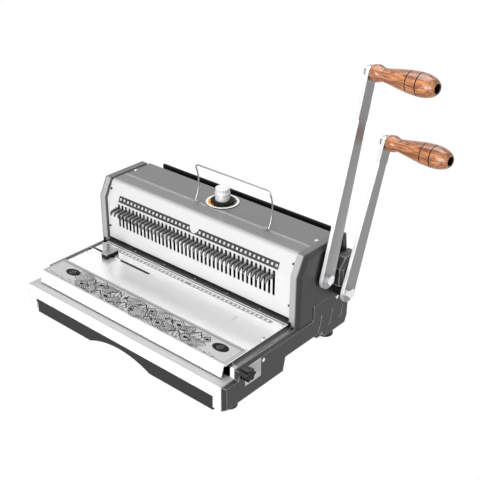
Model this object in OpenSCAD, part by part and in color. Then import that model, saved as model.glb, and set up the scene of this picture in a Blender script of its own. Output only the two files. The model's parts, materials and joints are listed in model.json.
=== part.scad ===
// Manual wire binding machine: a row punch and a wire closer, each worked by its own side lever.
// The origin is on the floor, in the middle of the overall box. +X is right, +Y is back, +Z is up.
// Inside the modules Y = 0 is the front face of the head panel and X = 0 is the middle of the body.

/* [Body] */
// Width over the two side covers
body_w = 424; // [400:1:460]
// From the head panel forward to the face of the fascia
front_reach = 165; // [150:1:200]
// From the head panel back to the rear edge of the lower covers
rear_reach = 128; // [126:1:145]
// Height of the top cover above the floor
top_h = 182; // [176:1:200]
// Height of the paper deck above the floor
deck_h = 75; // [72:1:80]
// Height of the rubber feet
foot_h = 14; // [10:0.5:20]
// Radius of the rubber feet
foot_r = 13; // [9:0.5:16]
// Thickness of the sheet metal
sheet = 1.5; // [1:0.1:2]
// Thickness of the steel end frames
frame_t = 10; // [7:0.5:11]

/* [Covers] */
// Thickness of the outer side covers
cover_t = 5; // [4:0.5:6]
// Width of the slanted rim along the side covers' upper edges
rim_w = 5; // [3:0.5:7]
// Width of the slanted rim along the side covers' front and rear edges
rim_front_w = 7; // [4:0.5:9]
// From the deck down to the fascia's top face
fascia_down = 21; // [17:1:27]
// Depth of the fascia's top face
fascia_d = 27; // [22:1:32]
// From the deck down to the top of the lower side covers beside it
rail_down = 5.5; // [4:0.5:9]
// From the closing shaft down to the joint between the upper and the lower side covers
seam_down = 7; // [7:0.5:11]
// Where the lower side cover steps up, behind the head panel
tower_y = 30; // [26:1:40]
// Rise of the end frames above the top cover
frame_rise = 2; // [1:0.5:4]
// Height of the slanted face above the head panel
facet_h = 30.5; // [24:0.5:34]
// Depth of the slanted face
facet_d = 14.3; // [10:0.1:18]
// Bend radius between the slanted face and the top
bend_r = 9; // [4:0.5:12]
// From the head panel back to the joint between front and top cover
joint_y = 39.5; // [32:0.5:44]
// From the head panel back to the rear edge of the top cover
throat_y = 98.6; // [95:0.1:99]

/* [Punch] */
// Distance from one hole to the next
pitch = 8.4667; // [8.4:0.0001:8.6]
// Number of punch pins
pins = 40; // [30:1:40]
// Side of the square punch pins
pin_w = 4; // [3:0.1:4.4]
// Play around a pin in the die and in the guide, on each side
pin_play = 0.1; // [0.05:0.01:0.2]
// From the head panel back to the row of pins
pin_y = 12; // [11:0.5:13]
// Height of the paper gap
paper_gap = 4.6; // [4.4:0.1:5]
// Travel of the punch ram
ram_stroke = 8; // [6:0.5:8.5]
// Swing of the punch lever, in degrees
punch_swing = 80; // [60:1:85]
// Punch shaft behind the head panel
punch_y = 53; // [52:0.5:54]
// Punch shaft above the deck
punch_up = 58; // [57:0.5:59]
// Radius of the punch shaft
punch_r = 7; // [5:0.5:7.5]
// Smallest radius of the punch cams
punch_cam_r = 11; // [9:0.5:12]

/* [Hooks and slots] */
// Width of the slots in the head panel
slot_w = 4.4; // [3.6:0.1:5]
// Lower end of the slots above the floor
slot_low = 106.2; // [102:0.1:108]
// Upper end of the slots above the floor
slot_top = 148.2; // [146:0.1:149]
// Thickness of a wire hook
hook_t = 1.9; // [1.4:0.1:2]
// How far the hooks stand out of the panel
hook_out = 19; // [14:0.5:24]
// Height of the hooks' upper edge above the floor
hook_z = 143; // [141:0.5:145]
// Side of the square windows
window_w = 4.2; // [3:0.1:5]

/* [Closer] */
// Closing shaft behind the head panel
closing_y = 90; // [88:0.5:91]
// Closing shaft above the floor
closing_z = 99; // [98:0.5:101]
// Radius of the closing shaft
closing_r = 6; // [4:0.5:6.5]
// Smallest radius of the closing cams
closing_cam_r = 9; // [8:0.5:10]
// Travel of the closing bar
closing_stroke = 10; // [8:0.5:10.5]
// Swing of the closing lever, in degrees
closing_swing = 70; // [55:1:75]
// Front face of the closing bar behind the head panel
bar_y = 112; // [111.5:0.5:113]
// Thickness of the closing bar
bar_t = 5; // [4:0.5:6]

/* [Levers] */
// Thickness of the lever strips
lever_t = 5.5; // [4:0.5:6]
// Width of a lever at its shaft
lever_w = 30; // [26:1:32]
// Width of a lever where it is twisted
lever_mid_w = 20; // [16:1:24]
// Width of a lever at its upper end
lever_top_w = 19; // [14:1:22]
// Twist of the levers' upper part, in degrees
lever_twist = 6; // [0:1:10]
// Length of the punch lever from shaft to grip
punch_len = 303; // [260:1:320]
// Lean of the punch lever to the rear, in degrees
punch_lean = 14.9; // [10:0.1:18]
// Length of the closing lever from shaft to grip
closing_len = 230; // [200:1:236]
// Lean of the closing lever to the rear, in degrees
closing_lean = 19.2; // [15:0.1:22]
// Length of a wooden grip
grip_len = 104; // [90:1:120]
// Largest radius of a wooden grip
grip_r = 16.5; // [14:0.5:19]

/* [Controls] */
// Radius of the dial on the top cover
dial_r = 26.7; // [22:0.1:28]
// Size knob radius
knob_r = 12; // [9:0.1:14]
// Size knob height above the top cover
knob_h = 26; // [18:0.5:30]
// Travel of the depth stop
depth_stroke = 5; // [3:0.5:5]
// Turn of the margin knob, in degrees
margin_turn = 180; // [120:5:180]
// Margin knob radius
margin_r = 10.5; // [8:0.5:12]
// Width of the wire bail
bail_w = 149.1; // [120:0.1:170]
// Height of the wire bail above the top cover
bail_h = 63.5; // [50:0.5:75]
// Radius of the bail's wire
bail_r = 1.2; // [1:0.1:1.6]

/* [Hidden] */

$fn = 48;

// Overrun of cuts, and the gaps between pieces: seated, running, cam to follower, and least
over = 1;
seat = 0.3;
slip = 0.05;
cam_gap = 0.4;
hair = 0.1;

// Side planes of the body, on the right; most of the left ones are mirrored
frame_gap = 1;
head_gap = 0.6;
wall_t = 1.7;
wall_in = 2.2;
deck_left_in = 21.5;
side_x = body_w / 2;
cover_x = side_x - cover_t;
frame_x = cover_x - frame_gap;
frame_in_x = frame_x - frame_t;
head_half = frame_in_x - head_gap;
wall_x = frame_in_x + wall_in;
deck_right = wall_x - seat;
deck_left = side_x - deck_left_in;

// Heights
pan_t = 2;
pan_floor = foot_h + pan_t;
panel_low = deck_h + paper_gap;
panel_top = top_h - facet_h;
frame_top = top_h + frame_rise;
fascia_h = deck_h - fascia_down;
rail_h = deck_h - rail_down;
seam_h = closing_z - seam_down;
punch_z = deck_h + punch_up;

// The levers' planes
lever_gap = 4;
lever_step = 7;
punch_lever_x = side_x + lever_gap;
closing_lever_x = punch_lever_x + lever_t + lever_step;
lever_mid = lever_t / 2;

// The turned grip: stations along it as shares of its length, and the radius at each
grip_gap = 2.5;
butt_r = 11.4;
collar_r = 12.4;
neck_r = 9.5;
grip_end_r = 8.4;
grip_shares = [0, 0.06, 0.18, 0.74, 1];
grip_radii = [butt_r, collar_r, neck_r, grip_r, grip_end_r];

// The overall box, for the origin: screw heads on the left, the closing grip on the right and at the rear
screw_h = 1.2;
grip_end = lever_mid + grip_gap + grip_len;
box_right = closing_lever_x + lever_mid + grip_end * cos(lever_twist) + grip_end_r * sin(lever_twist);
axis_y = sin(lever_twist) * cos(closing_lean);
box_rear = closing_y + closing_len * sin(closing_lean)
    - (lever_mid + grip_gap + grip_shares[1] * grip_len) * axis_y + collar_r * sqrt(1 - axis_y * axis_y);
shift_x = (side_x + screw_h - box_right) / 2;
shift_y = (front_reach - box_rear) / 2;

// Positions of the pins, slots and hooks
row_shift = -2.9;
function pin_x(i) = row_shift + (i - (pins - 1) / 2) * pitch;

module placed() {
    translate([shift_x, shift_y, 0])
        children();
}

module both_sides() {
    children();
    mirror([1, 0, 0])
        children();
}

// An outline of (Y, Z) points run along X
module along_x(x0, x1) {
    translate([x0, 0, 0])
        rotate([90, 0, 90])
            linear_extrude(x1 - x0)
                children();
}

// An outline of (X, Z) points run along Y
module along_y(y0, y1) {
    translate([0, y1, 0])
        rotate([90, 0, 0])
            linear_extrude(y1 - y0)
                children();
}

// An outline of (X, Y) points run along Z
module along_z(z0, z1) {
    translate([0, 0, z0])
        linear_extrude(z1 - z0)
            children();
}

module block(x0, x1, y0, y1, z0, z1) {
    translate([x0, y0, z0])
        cube([x1 - x0, y1 - y0, z1 - z0]);
}

module rod_x(x0, x1, y, z, r) {
    translate([x0, y, z])
        rotate([0, 90, 0])
            cylinder(h = x1 - x0, r = r);
}

module rod_z(x, y, z0, z1, r) {
    translate([x, y, z0])
        cylinder(h = z1 - z0, r = r);
}

// Outlines of bent sheet: the path is the outer face, the sheet lies to its left
function unit(v) = v / norm(v);
function left_of(v) = [-v[1], v[0]];
function before(path, i) = left_of(unit(path[max(i, 1)] - path[max(i, 1) - 1]));
function after(path, i) = left_of(unit(path[min(i + 1, len(path) - 1)] - path[min(i, len(path) - 2)]));
function inner_point(path, i, t) =
    let (a = before(path, i), b = after(path, i)) path[i] + t * (a + b) / (1 + a * b);
function bent(path, t) = concat(path, [for (i = [len(path) - 1:-1:0]) inner_point(path, i, t)]);
function arc(c, r, a0, a1, n) =
    [for (i = [0:n]) let (a = a0 + (a1 - a0) * i / n) c + r * [cos(a), sin(a)]];

// A cam whose radius grows evenly with the angle; start is the side it touches at rest
function cam_outline(r, rise, swing, lead, n = 24) = concat(
    [for (i = [0:n]) let (a = -lead + (swing + 2 * lead) * i / n, f = min(max(a / swing, 0), 1))
        (r + rise * f) * [cos(a), sin(a)]],
    [for (i = [1:n / 2 - 1]) let (a = swing + lead + (360 - swing - 2 * lead) * i / (n / 2))
        (r + rise * max(0, 1 - 4 * i / n)) * [cos(a), sin(a)]]);

// Base: pan, feet and fascia

// The arch in the lower edge of the side covers, open across the whole base
arch_h = 36.5;
arch_front = -36;
arch_start = -31;
arch_end = 55;
pad_front = 64;
pad_rear = 116;
pad_h = 25;
arch_clear = 1.5;
pan_back = 14;
pan_front = front_reach - pan_back;
pan_rear = 122;
pan_waist_in = 28;
pan_waist = side_x - pan_waist_in;
foot_back = 33;
foot_front_in = 20;
foot_rear_in = 27;
foot_rear_y = 103;
foot_front = [side_x - foot_front_in, foot_back - front_reach];
foot_rear = [side_x - foot_rear_in, foot_rear_y];
pan_heel = foot_rear[0] + foot_r;
toe_y = pad_front + pan_t;
frame_foot_y = 118;
flange_h = 58;
wall_h = rail_h - sheet - seat;
step_right = fascia_d - front_reach;

module base_pan() {
    waist_front = arch_front - arch_clear;
    half = [[0, -pan_front], [frame_x, -pan_front], [frame_x, waist_front], [pan_waist, waist_front],
        [pan_waist, pad_front], [pan_heel, pad_front], [pan_heel, pan_rear], [0, pan_rear]];
    color("dimgray")
        difference() {
            union() {
                along_z(foot_h, pan_floor) {
                    polygon(half);
                    mirror([1, 0])
                        polygon(half);
                }
                both_sides()
                    along_x(wall_x, wall_x + wall_t)
                        polygon([[step_right + pan_t, foot_h], [step_right + pan_t, wall_h], [-over, wall_h],
                            [-over, arch_h + arch_clear], [waist_front, arch_h + arch_clear],
                            [waist_front, foot_h]]);
                both_sides()
                    block(frame_in_x - sheet, frame_in_x, toe_y, frame_foot_y, foot_h, flange_h);
            }
            rod_x(-side_x, side_x, margin_y, margin_z, margin_shaft_r + slip);
        }
}

module feet() {
    color([0.08, 0.08, 0.08])
        both_sides()
            for (p = [foot_front, foot_rear])
                rod_z(p[0], p[1], 0, foot_h, foot_r);
}

opening_in = 19.6;
opening_half = side_x - opening_in;
opening_h = 33;
corner_d = 8;
corner_chamfer = 2;

// The front sheet, with a bracket beside the margin knob
module fascia() {
    color([0.85, 0.85, 0.86]) {
        difference() {
            along_x(-cover_x + hair, cover_x - hair)
                polygon(bent([[step_right, fascia_h], [-front_reach, fascia_h],
                    [-front_reach, foot_h]], sheet));
            block(-opening_half, opening_half, -front_reach - over, -front_reach + sheet + over,
                foot_h - over, opening_h);
        }
        along_x(wall_x + wall_t + seat, cover_x - hair)
            polygon([[step_right - over, fascia_h - sheet], [step_right - over, fascia_h],
                [step_right, fascia_h], [step_right, rail_h - corner_chamfer],
                [step_right + corner_chamfer, rail_h],
                [step_right + corner_d, rail_h], [step_right + corner_d, fascia_h - sheet]]);
    }
}

// Side covers

// The least width left flat beside a slanted rim
rim_land = 0.6;

// Cuts the slanted rim along one edge of a cover from p to q, whose outline runs clockwise; the rim
// starts a small land above the cover's inner face at x and ends at its outer face, t further out
module rim_cut(x, t, w, p, q, e0, e1) {
    length = norm(q - p);
    angle = atan2(q[1] - p[1], q[0] - p[0]);
    out = x + 2 * t - rim_land;
    translate([0, p[0], p[1]])
        rotate([angle, 0, 0])
            along_y(-e0, length + e1)
                polygon([[x - t + 2 * rim_land, w], [out, -2 * w], [out, w]]);
}

// A flat plate in the cover's plane with slanted rims along its front, top and rear edges
module rimmed_plate(y0, y1, z0, z1, front_w, top_w, rear_w) {
    run = 2 * cover_t;
    difference() {
        block(cover_x, side_x, y0, y1, z0, z1);
        rim_cut(cover_x, cover_t, front_w, [y0, z0], [y0, z1], run, run);
        rim_cut(cover_x, cover_t, top_w, [y0, z1], [y1, z1], run, run);
        if (rear_w > 0)
            rim_cut(cover_x, cover_t, rear_w, [y1, z1], [y1, z0], run, run);
    }
}

rear_low = 53;
louvers = 3;
louver_y = 45.5;
louver_step = 27.5;
louver_low = 41.5;
louver_top = 65.5;
louver_lean = 6;
louver_w = 3.4;
louver_depth = 3;

// One lower cover, whose front steps up at step_y
module side_cover(step_y) {
    y0 = foot_h - over;
    difference() {
        union() {
            rimmed_plate(-front_reach, step_y + 2 * rim_front_w, foot_h, fascia_h, rim_front_w, rim_w, 0);
            rimmed_plate(step_y, tower_y + 2 * rim_front_w, foot_h, rail_h, rim_w, rim_w, 0);
            rimmed_plate(tower_y, rear_reach, pad_h, seam_h, rim_w, rim_land, rim_front_w);
        }
        along_x(cover_x - over, side_x + over)
            polygon([[arch_front, y0], [arch_start, arch_h], [arch_end, arch_h], [pad_front, pad_h],
                [pad_front, y0]]);
        along_x(cover_x - over, side_x + over)
            polygon([[pad_rear, pad_h - over], [pad_rear, pad_h], [rear_reach, rear_low],
                [rear_reach + over, rear_low], [rear_reach + over, pad_h - over]]);
        for (i = [0:louvers - 1])
            along_x(side_x - louver_depth, side_x + over)
                translate([louver_y + i * louver_step, 0])
                    polygon([[0, louver_low], [louver_w, louver_low], [louver_w + louver_lean, louver_top],
                        [louver_lean, louver_top]]);
        rod_x(-side_x, side_x + over, margin_y, margin_z, margin_shaft_r + seat);
    }
}

step_left_back = 17;
step_left = step_right + step_left_back;
flange_end = 2;

// The left cover reaches in to the deck with a flange, which the guide slot crosses
module side_cover_left() {
    color([0.28, 0.28, 0.29])
        mirror([1, 0, 0]) {
            side_cover(step_left);
            difference() {
                block(deck_left + seat, cover_x + rim_land / 2, step_left + rim_w, -deck_rear,
                    rail_h - sheet, rail_h);
                block(deck_left, cover_x - flange_end, guide_slot_y - guide_slot_w / 2,
                    guide_slot_y + guide_slot_w / 2, rail_h - sheet - over, rail_h + over);
            }
        }
}

module side_cover_right() {
    color([0.28, 0.28, 0.29])
        side_cover(step_right);
}

// End frames and upper covers

frame_front = 5;
facet_top_y = 10;
frame_rear = 93;
ledge_h = 112;
frame_nose = 2;
frame_foot_z = pad_h - frame_nose;
facet_low_up = 2.5;
facet_low = panel_top + facet_low_up;

// The frame is screwed to the pan's flange behind the arch; a ledge at its rear carries the guard
module end_frame() {
    nose_z = deck_h + frame_nose;
    difference() {
        along_x(frame_in_x, frame_x)
            polygon([[0, arch_h + arch_clear], [0, nose_z], [-frame_front, nose_z], [-frame_front, facet_low],
                [facet_top_y, frame_top], [frame_rear, frame_top], [frame_rear, ledge_h],
                [frame_foot_y, ledge_h], [frame_foot_y, frame_foot_z], [toe_y, frame_foot_z],
                [toe_y, arch_h + arch_clear]]);
        rod_x(frame_in_x - over, frame_x + over, punch_y, punch_z, punch_r + bush_t);
        rod_x(frame_in_x - over, frame_x + over, closing_y, closing_z, closing_r + bush_t);
    }
}

module end_frame_left() {
    color([0.72, 0.72, 0.73])
        mirror([1, 0, 0])
            end_frame();
}

module end_frame_right() {
    color([0.72, 0.72, 0.73])
        end_frame();
}

// The upper cover reaches down to the rail in front of the lower cover's step
module end_cover(bores) {
    a = [-frame_front, rail_h + seat];
    b = [-frame_front, facet_low];
    c = [facet_top_y, frame_top];
    d = [frame_rear, frame_top];
    e = [frame_rear, housing_top];
    difference() {
        along_x(frame_x + hair, side_x)
            polygon([a, b, c, d, e, [housing_rear, housing_top], [housing_rear, seam_h + seat],
                [tower_y - seat, seam_h + seat], [tower_y - seat, rail_h + seat]]);
        rim_cut(cover_x, cover_t, rim_front_w, a, b, 2 * cover_t, cover_t);
        rim_cut(cover_x, cover_t, rim_front_w, b, c, cover_t, cover_t);
        rim_cut(cover_x, cover_t, rim_front_w, c, d, cover_t, 2 * cover_t);
        rim_cut(cover_x, cover_t, rim_w, d, e, 2 * cover_t, 0);
        if (bores) {
            rod_x(frame_x - over, side_x + over, punch_y, punch_z, punch_r + seat);
            rod_x(frame_x - over, side_x + over, closing_y, closing_z, closing_r + seat);
        }
    }
}

module end_cover_left() {
    color([0.28, 0.28, 0.29])
        mirror([1, 0, 0])
            end_cover(false);
}

module end_cover_right() {
    color([0.28, 0.28, 0.29])
        end_cover(true);
}

// Stepped housing behind the punch lever
housing_front = 80;
housing_rear = 122;
housing_low = 109;
housing_top = 152;
housing_out = 14;
housing_chamfer = 5;
housing_slope = 14;

module lever_housing() {
    x1 = side_x + housing_out;
    w = housing_chamfer;
    a = [housing_front, housing_low];
    b = [housing_front, housing_top - housing_slope];
    c = [housing_front + housing_slope, housing_top];
    d = [housing_rear, housing_top];
    color([0.24, 0.24, 0.25])
        difference() {
            along_x(side_x, x1)
                polygon([a, b, c, d, [housing_rear, housing_low]]);
            rim_cut(x1 - w, w, w, a, b, over, over);
            rim_cut(x1 - w, w, w, b, c, over, over);
            rim_cut(x1 - w, w, w, c, d, over, over);
        }
}

// Black guard at the right end of the closing bar
guard_front = 107;
guard_rear = 119;
guard_nose = 3;
guard_slope_low = 148;
guard_top_d = 7.5;
guard_down = 2;
guard_in = 4;

module rear_guard() {
    z1 = top_h - guard_down;
    color([0.07, 0.07, 0.07])
        along_x(frame_in_x + guard_in, frame_x)
            polygon([[guard_front, ledge_h], [guard_front, z1 - guard_nose], [guard_front + guard_nose, z1],
                [guard_front + guard_top_d, z1], [guard_rear, guard_slope_low], [guard_rear, ledge_h]]);
}

rear_lip = 2.8;

module rear_panel() {
    y1 = pan_rear + sheet + seat;
    color([0.12, 0.12, 0.12])
        along_x(-frame_in_x, frame_in_x)
            polygon(bent([[y1, pan_floor], [y1, ledge_h], [y1 - rear_lip, ledge_h]], sheet));
}

// Chip drawer

drawer_gap = 1.4;
drawer_half = opening_half - drawer_gap;
drawer_rear = 40;
drawer_low = 7.5;
drawer_top = opening_h - head_gap;
drawer_front_t = 3;
tray_in = 7.4;
tray_half = opening_half - tray_in;
tray_floor = pan_floor + seat;
tray_top = 31;
tray_back = 9;
finger_half = 65;
finger_rise = 14.4;

// The tray stands back from its front plate, whose lower edge has a wide finger arch
module chip_drawer() {
    front = -front_reach + sheet + hair;
    plate_rear = front + drawer_front_t;
    tray_front = plate_rear + tray_back;
    r = (finger_half * finger_half + finger_rise * finger_rise) / (2 * finger_rise);
    color([0.12, 0.12, 0.13]) {
        difference() {
            block(-tray_half, tray_half, tray_front, drawer_rear, tray_floor, tray_top);
            block(-tray_half + sheet, tray_half - sheet, tray_front + sheet, drawer_rear - sheet,
                tray_floor + sheet, tray_top + over);
        }
        both_sides()
            block(tray_half - sheet, tray_half, plate_rear, tray_front, tray_floor, tray_top);
        difference() {
            block(-drawer_half, drawer_half, front, plate_rear, drawer_low, drawer_top);
            along_y(front - over, plate_rear + over)
                translate([0, drawer_low + finger_rise - r])
                    circle(r = r);
        }
    }
}

// Deck, its printed plate and the plate beside the margin knob

deck_back = 20;
deck_front = front_reach - deck_back;
deck_rear = 9;
lip_out = 5.5;
lip_up = 2;
lip_in = 17;
lip_half = side_x - lip_in;
guide_slot_y = -40.5;
guide_slot_w = 5;
guide_slot_in = 153.5;
label_edge = 0.5;
label_front = label_edge - deck_front;
label_d = 45.5;
label_rear = label_front + label_d;
label_left_in = 18;
label_right_in = 16;
label_t = 1.2;

// The right edge is bent down and out to the rail; the left one turns down beside the cover's flange
module deck() {
    low = rail_h - sheet;
    step_front = step_right + corner_d + seat;
    color([0.82, 0.82, 0.83])
        difference() {
            union() {
                along_z(deck_h - sheet, deck_h)
                    polygon([[-lip_half, -deck_front], [deck_right, -deck_front], [deck_right, -deck_rear],
                        [-deck_left, -deck_rear], [-deck_left, label_rear], [-lip_half, label_rear]]);
                along_x(-lip_half, lip_half)
                    polygon(bent([[-deck_front + over, deck_h], [-deck_front, deck_h],
                        [-deck_front - lip_out, fascia_h + lip_up]], sheet));
                block(-deck_left, -deck_left + sheet, label_rear, -deck_rear, low, deck_h);
                block(deck_right - sheet, deck_right, step_front, -deck_rear, low, deck_h);
                block(deck_right - sheet, cover_x - seat, step_front, -deck_rear, low, rail_h);
            }
            block(-deck_left - over, guide_slot_in - side_x, guide_slot_y - guide_slot_w / 2,
                guide_slot_y + guide_slot_w / 2, low - over, deck_h + over);
        }
}

module label_plate() {
    color([0.62, 0.62, 0.63])
        block(label_left_in - side_x, side_x - label_right_in, label_front, label_rear,
            deck_h, deck_h + label_t);
}

knob_plate_off = 4.7;
knob_plate_d = 33.3;
knob_plate_h = 30;
plate_t = 0.6;

module knob_plate() {
    y0 = margin_y + knob_plate_off;
    z1 = rail_h - rim_w;
    color([0.8, 0.8, 0.8])
        block(side_x, side_x + plate_t, y0, y0 + knob_plate_d, z1 - knob_plate_h, z1);
}

// Paper guide: a bent steel upright and foot on a black slider that runs in the deck's slot

guide_in = 57;
guide_t = 1.5;
guide_rise = 20;
post_off = 2.5;
post_w = 10;
post_d = 6;
slider_w = 12;
slider_h = 7.2;
slider_ahead = 14.5;
slider_behind = 11.5;
tongue_half = 7;
slider_x = guide_in - side_x;
slider_z = deck_h + seat;
guide_top = deck_h + guide_rise;

module side_guide() {
    post_y = guide_slot_y - post_off;
    foot_z = slider_z + slider_h;
    color([0.75, 0.75, 0.76]) {
        block(slider_x - guide_t, slider_x + slider_w, guide_slot_y - slider_ahead,
            guide_slot_y + slider_behind, foot_z, foot_z + guide_t);
        block(slider_x - guide_t, slider_x, post_y, post_y + post_d, slider_z, guide_top);
        block(slider_x - post_w, slider_x, post_y, post_y + guide_t, slider_z, guide_top);
    }
}

module guide_slider() {
    x1 = slider_x + slider_w;
    neck = guide_slot_w / 2 - hair;
    under = deck_h - sheet - seat;
    color([0.1, 0.1, 0.1]) {
        block(slider_x, x1, guide_slot_y - slider_ahead, guide_slot_y + slider_behind, slider_z,
            slider_z + slider_h);
        block(slider_x, x1, guide_slot_y - neck, guide_slot_y + neck, under, slider_z + seat);
        block(slider_x, x1, guide_slot_y - tongue_half, guide_slot_y + tongue_half, under - sheet, under);
    }
}

// Margin knob, its shaft with two cams, and the depth stop they push back

margin_back = 40;
margin_down = 7.5;
margin_y = margin_back - front_reach;
margin_z = rail_h - margin_down;
margin_shaft_r = 4;
margin_cam_r = 6.5;
margin_cam_t = 6;
margin_lead = 10;
margin_knob_len = 14;
margin_knob_gap = 0.8;
margin_lobes = 6;
lobe_depth = 1.5;
rail_in = 34;
rail_x = side_x - rail_in;
rail_half = 4;
rail_half_h = 2;
stop_y = 16;
stop_t = 3;

module margin_shaft() {
    color("silver") {
        rod_x(-wall_x - wall_t - over, side_x + margin_knob_gap, margin_y, margin_z, margin_shaft_r);
        both_sides()
            translate([0, margin_y, margin_z])
                along_x(rail_x - margin_cam_t / 2, rail_x + margin_cam_t / 2)
                    mirror([0, 1])
                        polygon(cam_outline(margin_cam_r, depth_stroke, margin_turn, margin_lead));
    }
}

module margin_knob() {
    x0 = side_x + margin_knob_gap;
    n = 10 * margin_lobes;
    color([0.07, 0.07, 0.07])
        translate([0, margin_y, margin_z])
            along_x(x0, x0 + margin_knob_len)
                polygon([for (i = [0:n - 1]) let (a = 360 * i / n)
                    (margin_r - lobe_depth + lobe_depth * cos(margin_lobes * a)) * [cos(a), sin(a)]]);
}

module depth_slide() {
    nose_y = margin_y + margin_cam_r + cam_gap;
    low = margin_z - rail_half_h;
    high = margin_z + rail_half_h;
    color("lightgray") {
        both_sides()
            along_x(rail_x - rail_half, rail_x + rail_half)
                polygon([[nose_y, margin_z - hair], [nose_y, margin_z + hair], [nose_y + rail_half, high],
                    [stop_y + stop_t, high], [stop_y + stop_t, low], [nose_y + rail_half, low]]);
        block(-rail_x - rail_half, rail_x + rail_half, stop_y, stop_y + stop_t, low, panel_low - seat);
    }
}

// Head covers

module slot_outline() {
    r = slot_w / 2;
    translate([0, slot_low + r])
        circle(r = r);
    translate([0, slot_top - r])
        circle(r = r);
    translate([-r, slot_low + r])
        square([slot_w, slot_top - slot_low - slot_w]);
}

facet_angle = atan2(facet_h, facet_d);
bend_steps = 10;

// The slotted panel, the slanted face above it and the front part of the top, in one bent sheet
module front_cover() {
    cut = bend_r * tan(facet_angle / 2);
    color([0.86, 0.86, 0.87])
        difference() {
            along_x(-head_half, head_half)
                polygon(bent(concat([[joint_y, top_h]],
                    arc([facet_d + cut, top_h - bend_r], bend_r, 90, 90 + facet_angle, bend_steps),
                    [[0, panel_top], [0, panel_low]]), sheet));
            for (i = [0:pins - 1])
                along_y(-over, sheet + over)
                    translate([pin_x(i), 0])
                        slot_outline();
        }
}

lip_h = 30;
dial_x = 1.5;
dial_y = 67.4;
spindle_r = 3;

module top_cover() {
    color([0.5, 0.5, 0.51])
        difference() {
            along_x(-head_half, head_half)
                polygon(bent([[throat_y, top_h - lip_h], [throat_y, top_h], [joint_y + seat, top_h]], sheet));
            rod_z(dial_x, dial_y, top_h - 2 * sheet, top_h + over, spindle_r + slip);
        }
}

strip_t = 0.5;
strip_h = 10.8;
strip_lift = 0.2;
strip_half = pins / 2 * pitch - seat;
thumb_r = 9.8;

// Places a piece on the slanted face: Y = 0 is the face, Z runs up along it
module on_facet() {
    translate([0, 0, panel_top])
        rotate([facet_angle - 90, 0, 0])
            children();
}

// Black strip on the lower part of the slanted face: one square window for each pin, but the middle
// two, where a round thumb notch is cut from the upper edge
module hole_strip() {
    window_low = strip_lift + (strip_h - window_w) / 2;
    middle = (pins - 1) / 2;
    color([0.09, 0.09, 0.09])
        on_facet()
            difference() {
                block(-strip_half, strip_half, -strip_t - slip, -slip, strip_lift, strip_lift + strip_h);
                for (i = [0:pins - 1])
                    if (abs(i - middle) > 1)
                        translate([(i - middle) * pitch, 0, 0])
                            block(-window_w / 2, window_w / 2, -strip_t - over, over, window_low,
                                window_low + window_w);
                along_y(-strip_t - over, over)
                    translate([0, strip_lift + strip_h])
                        circle(r = thumb_r);
            }
}

comb_y = 20;
comb_t = 2;
comb_low = 131;
comb_top = 146;
hook_drop = 9.7;
shank_share = 0.825;

// The hook's outline as shares of its reach and of its drop, over the tip and back below
hook_shares = [[0.526, 0], [0.789, 0.06], [0.947, 0.247], [1, 0.515], [0.989, 0.773], [0.937, 1],
    [0.863, 0.907], [0.811, 0.68], [0.684, 0.536], [0.526, 0.536], [0.316, 0.66], [0.158, shank_share]];

module hook_comb() {
    root = comb_y + comb_t / 2;
    outline = concat([[root, hook_z]],
        [for (s = hook_shares) [-s[0] * hook_out, hook_z - s[1] * hook_drop]],
        [[root, hook_z - shank_share * hook_drop]]);
    color([0.6, 0.6, 0.61]) {
        block(-frame_in_x, frame_in_x, comb_y, comb_y + comb_t, comb_low, comb_top);
        for (i = [0:pins - 1])
            along_x(pin_x(i) - hook_t, pin_x(i))
                polygon(outline);
    }
}

// Punch set

die_t = 6;
die_rear = 15.5;
guide_gap = 0.4;
guide_plate_t = 6;
guide_plate_front = 3;
guide_plate_rear = 31;
ram_gap = 1.5;
ram_ahead = 6;
ram_behind = 9;
ram_in = 4;
ram_web_in = 16;
holder_h = 9;
web_h = 8;
pin_pocket = 7;
pad_half = 7;
guide_rod_in = 10;
guide_rod_y = 25;
guide_rod_r = 4;
guide_rod_rise = 12;
punch_cam_in = 46;
punch_cam_t = 8;
cam_lead = 8;
guide_top_z = panel_low + guide_gap + guide_plate_t;
ram_low = guide_top_z + ram_stroke + ram_gap;
ram_top = ram_low + holder_h + web_h;
guide_rod_x = frame_in_x - guide_rod_in;
punch_cam_x = frame_in_x - punch_cam_in;

// Square holes for all pins, with the given play on each side
module square_holes(play, z0, z1) {
    half = pin_w / 2 + play;
    for (i = [0:pins - 1])
        block(pin_x(i) - half, pin_x(i) + half, pin_y - half, pin_y + half, z0, z1);
}

module die_plate() {
    color([0.55, 0.55, 0.56])
        difference() {
            block(-frame_in_x, frame_in_x, -deck_rear + seat, die_rear, deck_h - die_t, deck_h);
            square_holes(pin_play, deck_h - die_t - over, deck_h + over);
        }
}

module pin_guide() {
    z0 = panel_low + guide_gap;
    color([0.5, 0.5, 0.51])
        difference() {
            block(-frame_in_x, frame_in_x, guide_plate_front, guide_plate_rear, z0, guide_top_z);
            square_holes(pin_play, z0 - over, guide_top_z + over);
        }
}

module punch_pins() {
    color("silver")
        square_holes(0, panel_low + guide_gap + over, ram_low + pin_pocket);
}

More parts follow.
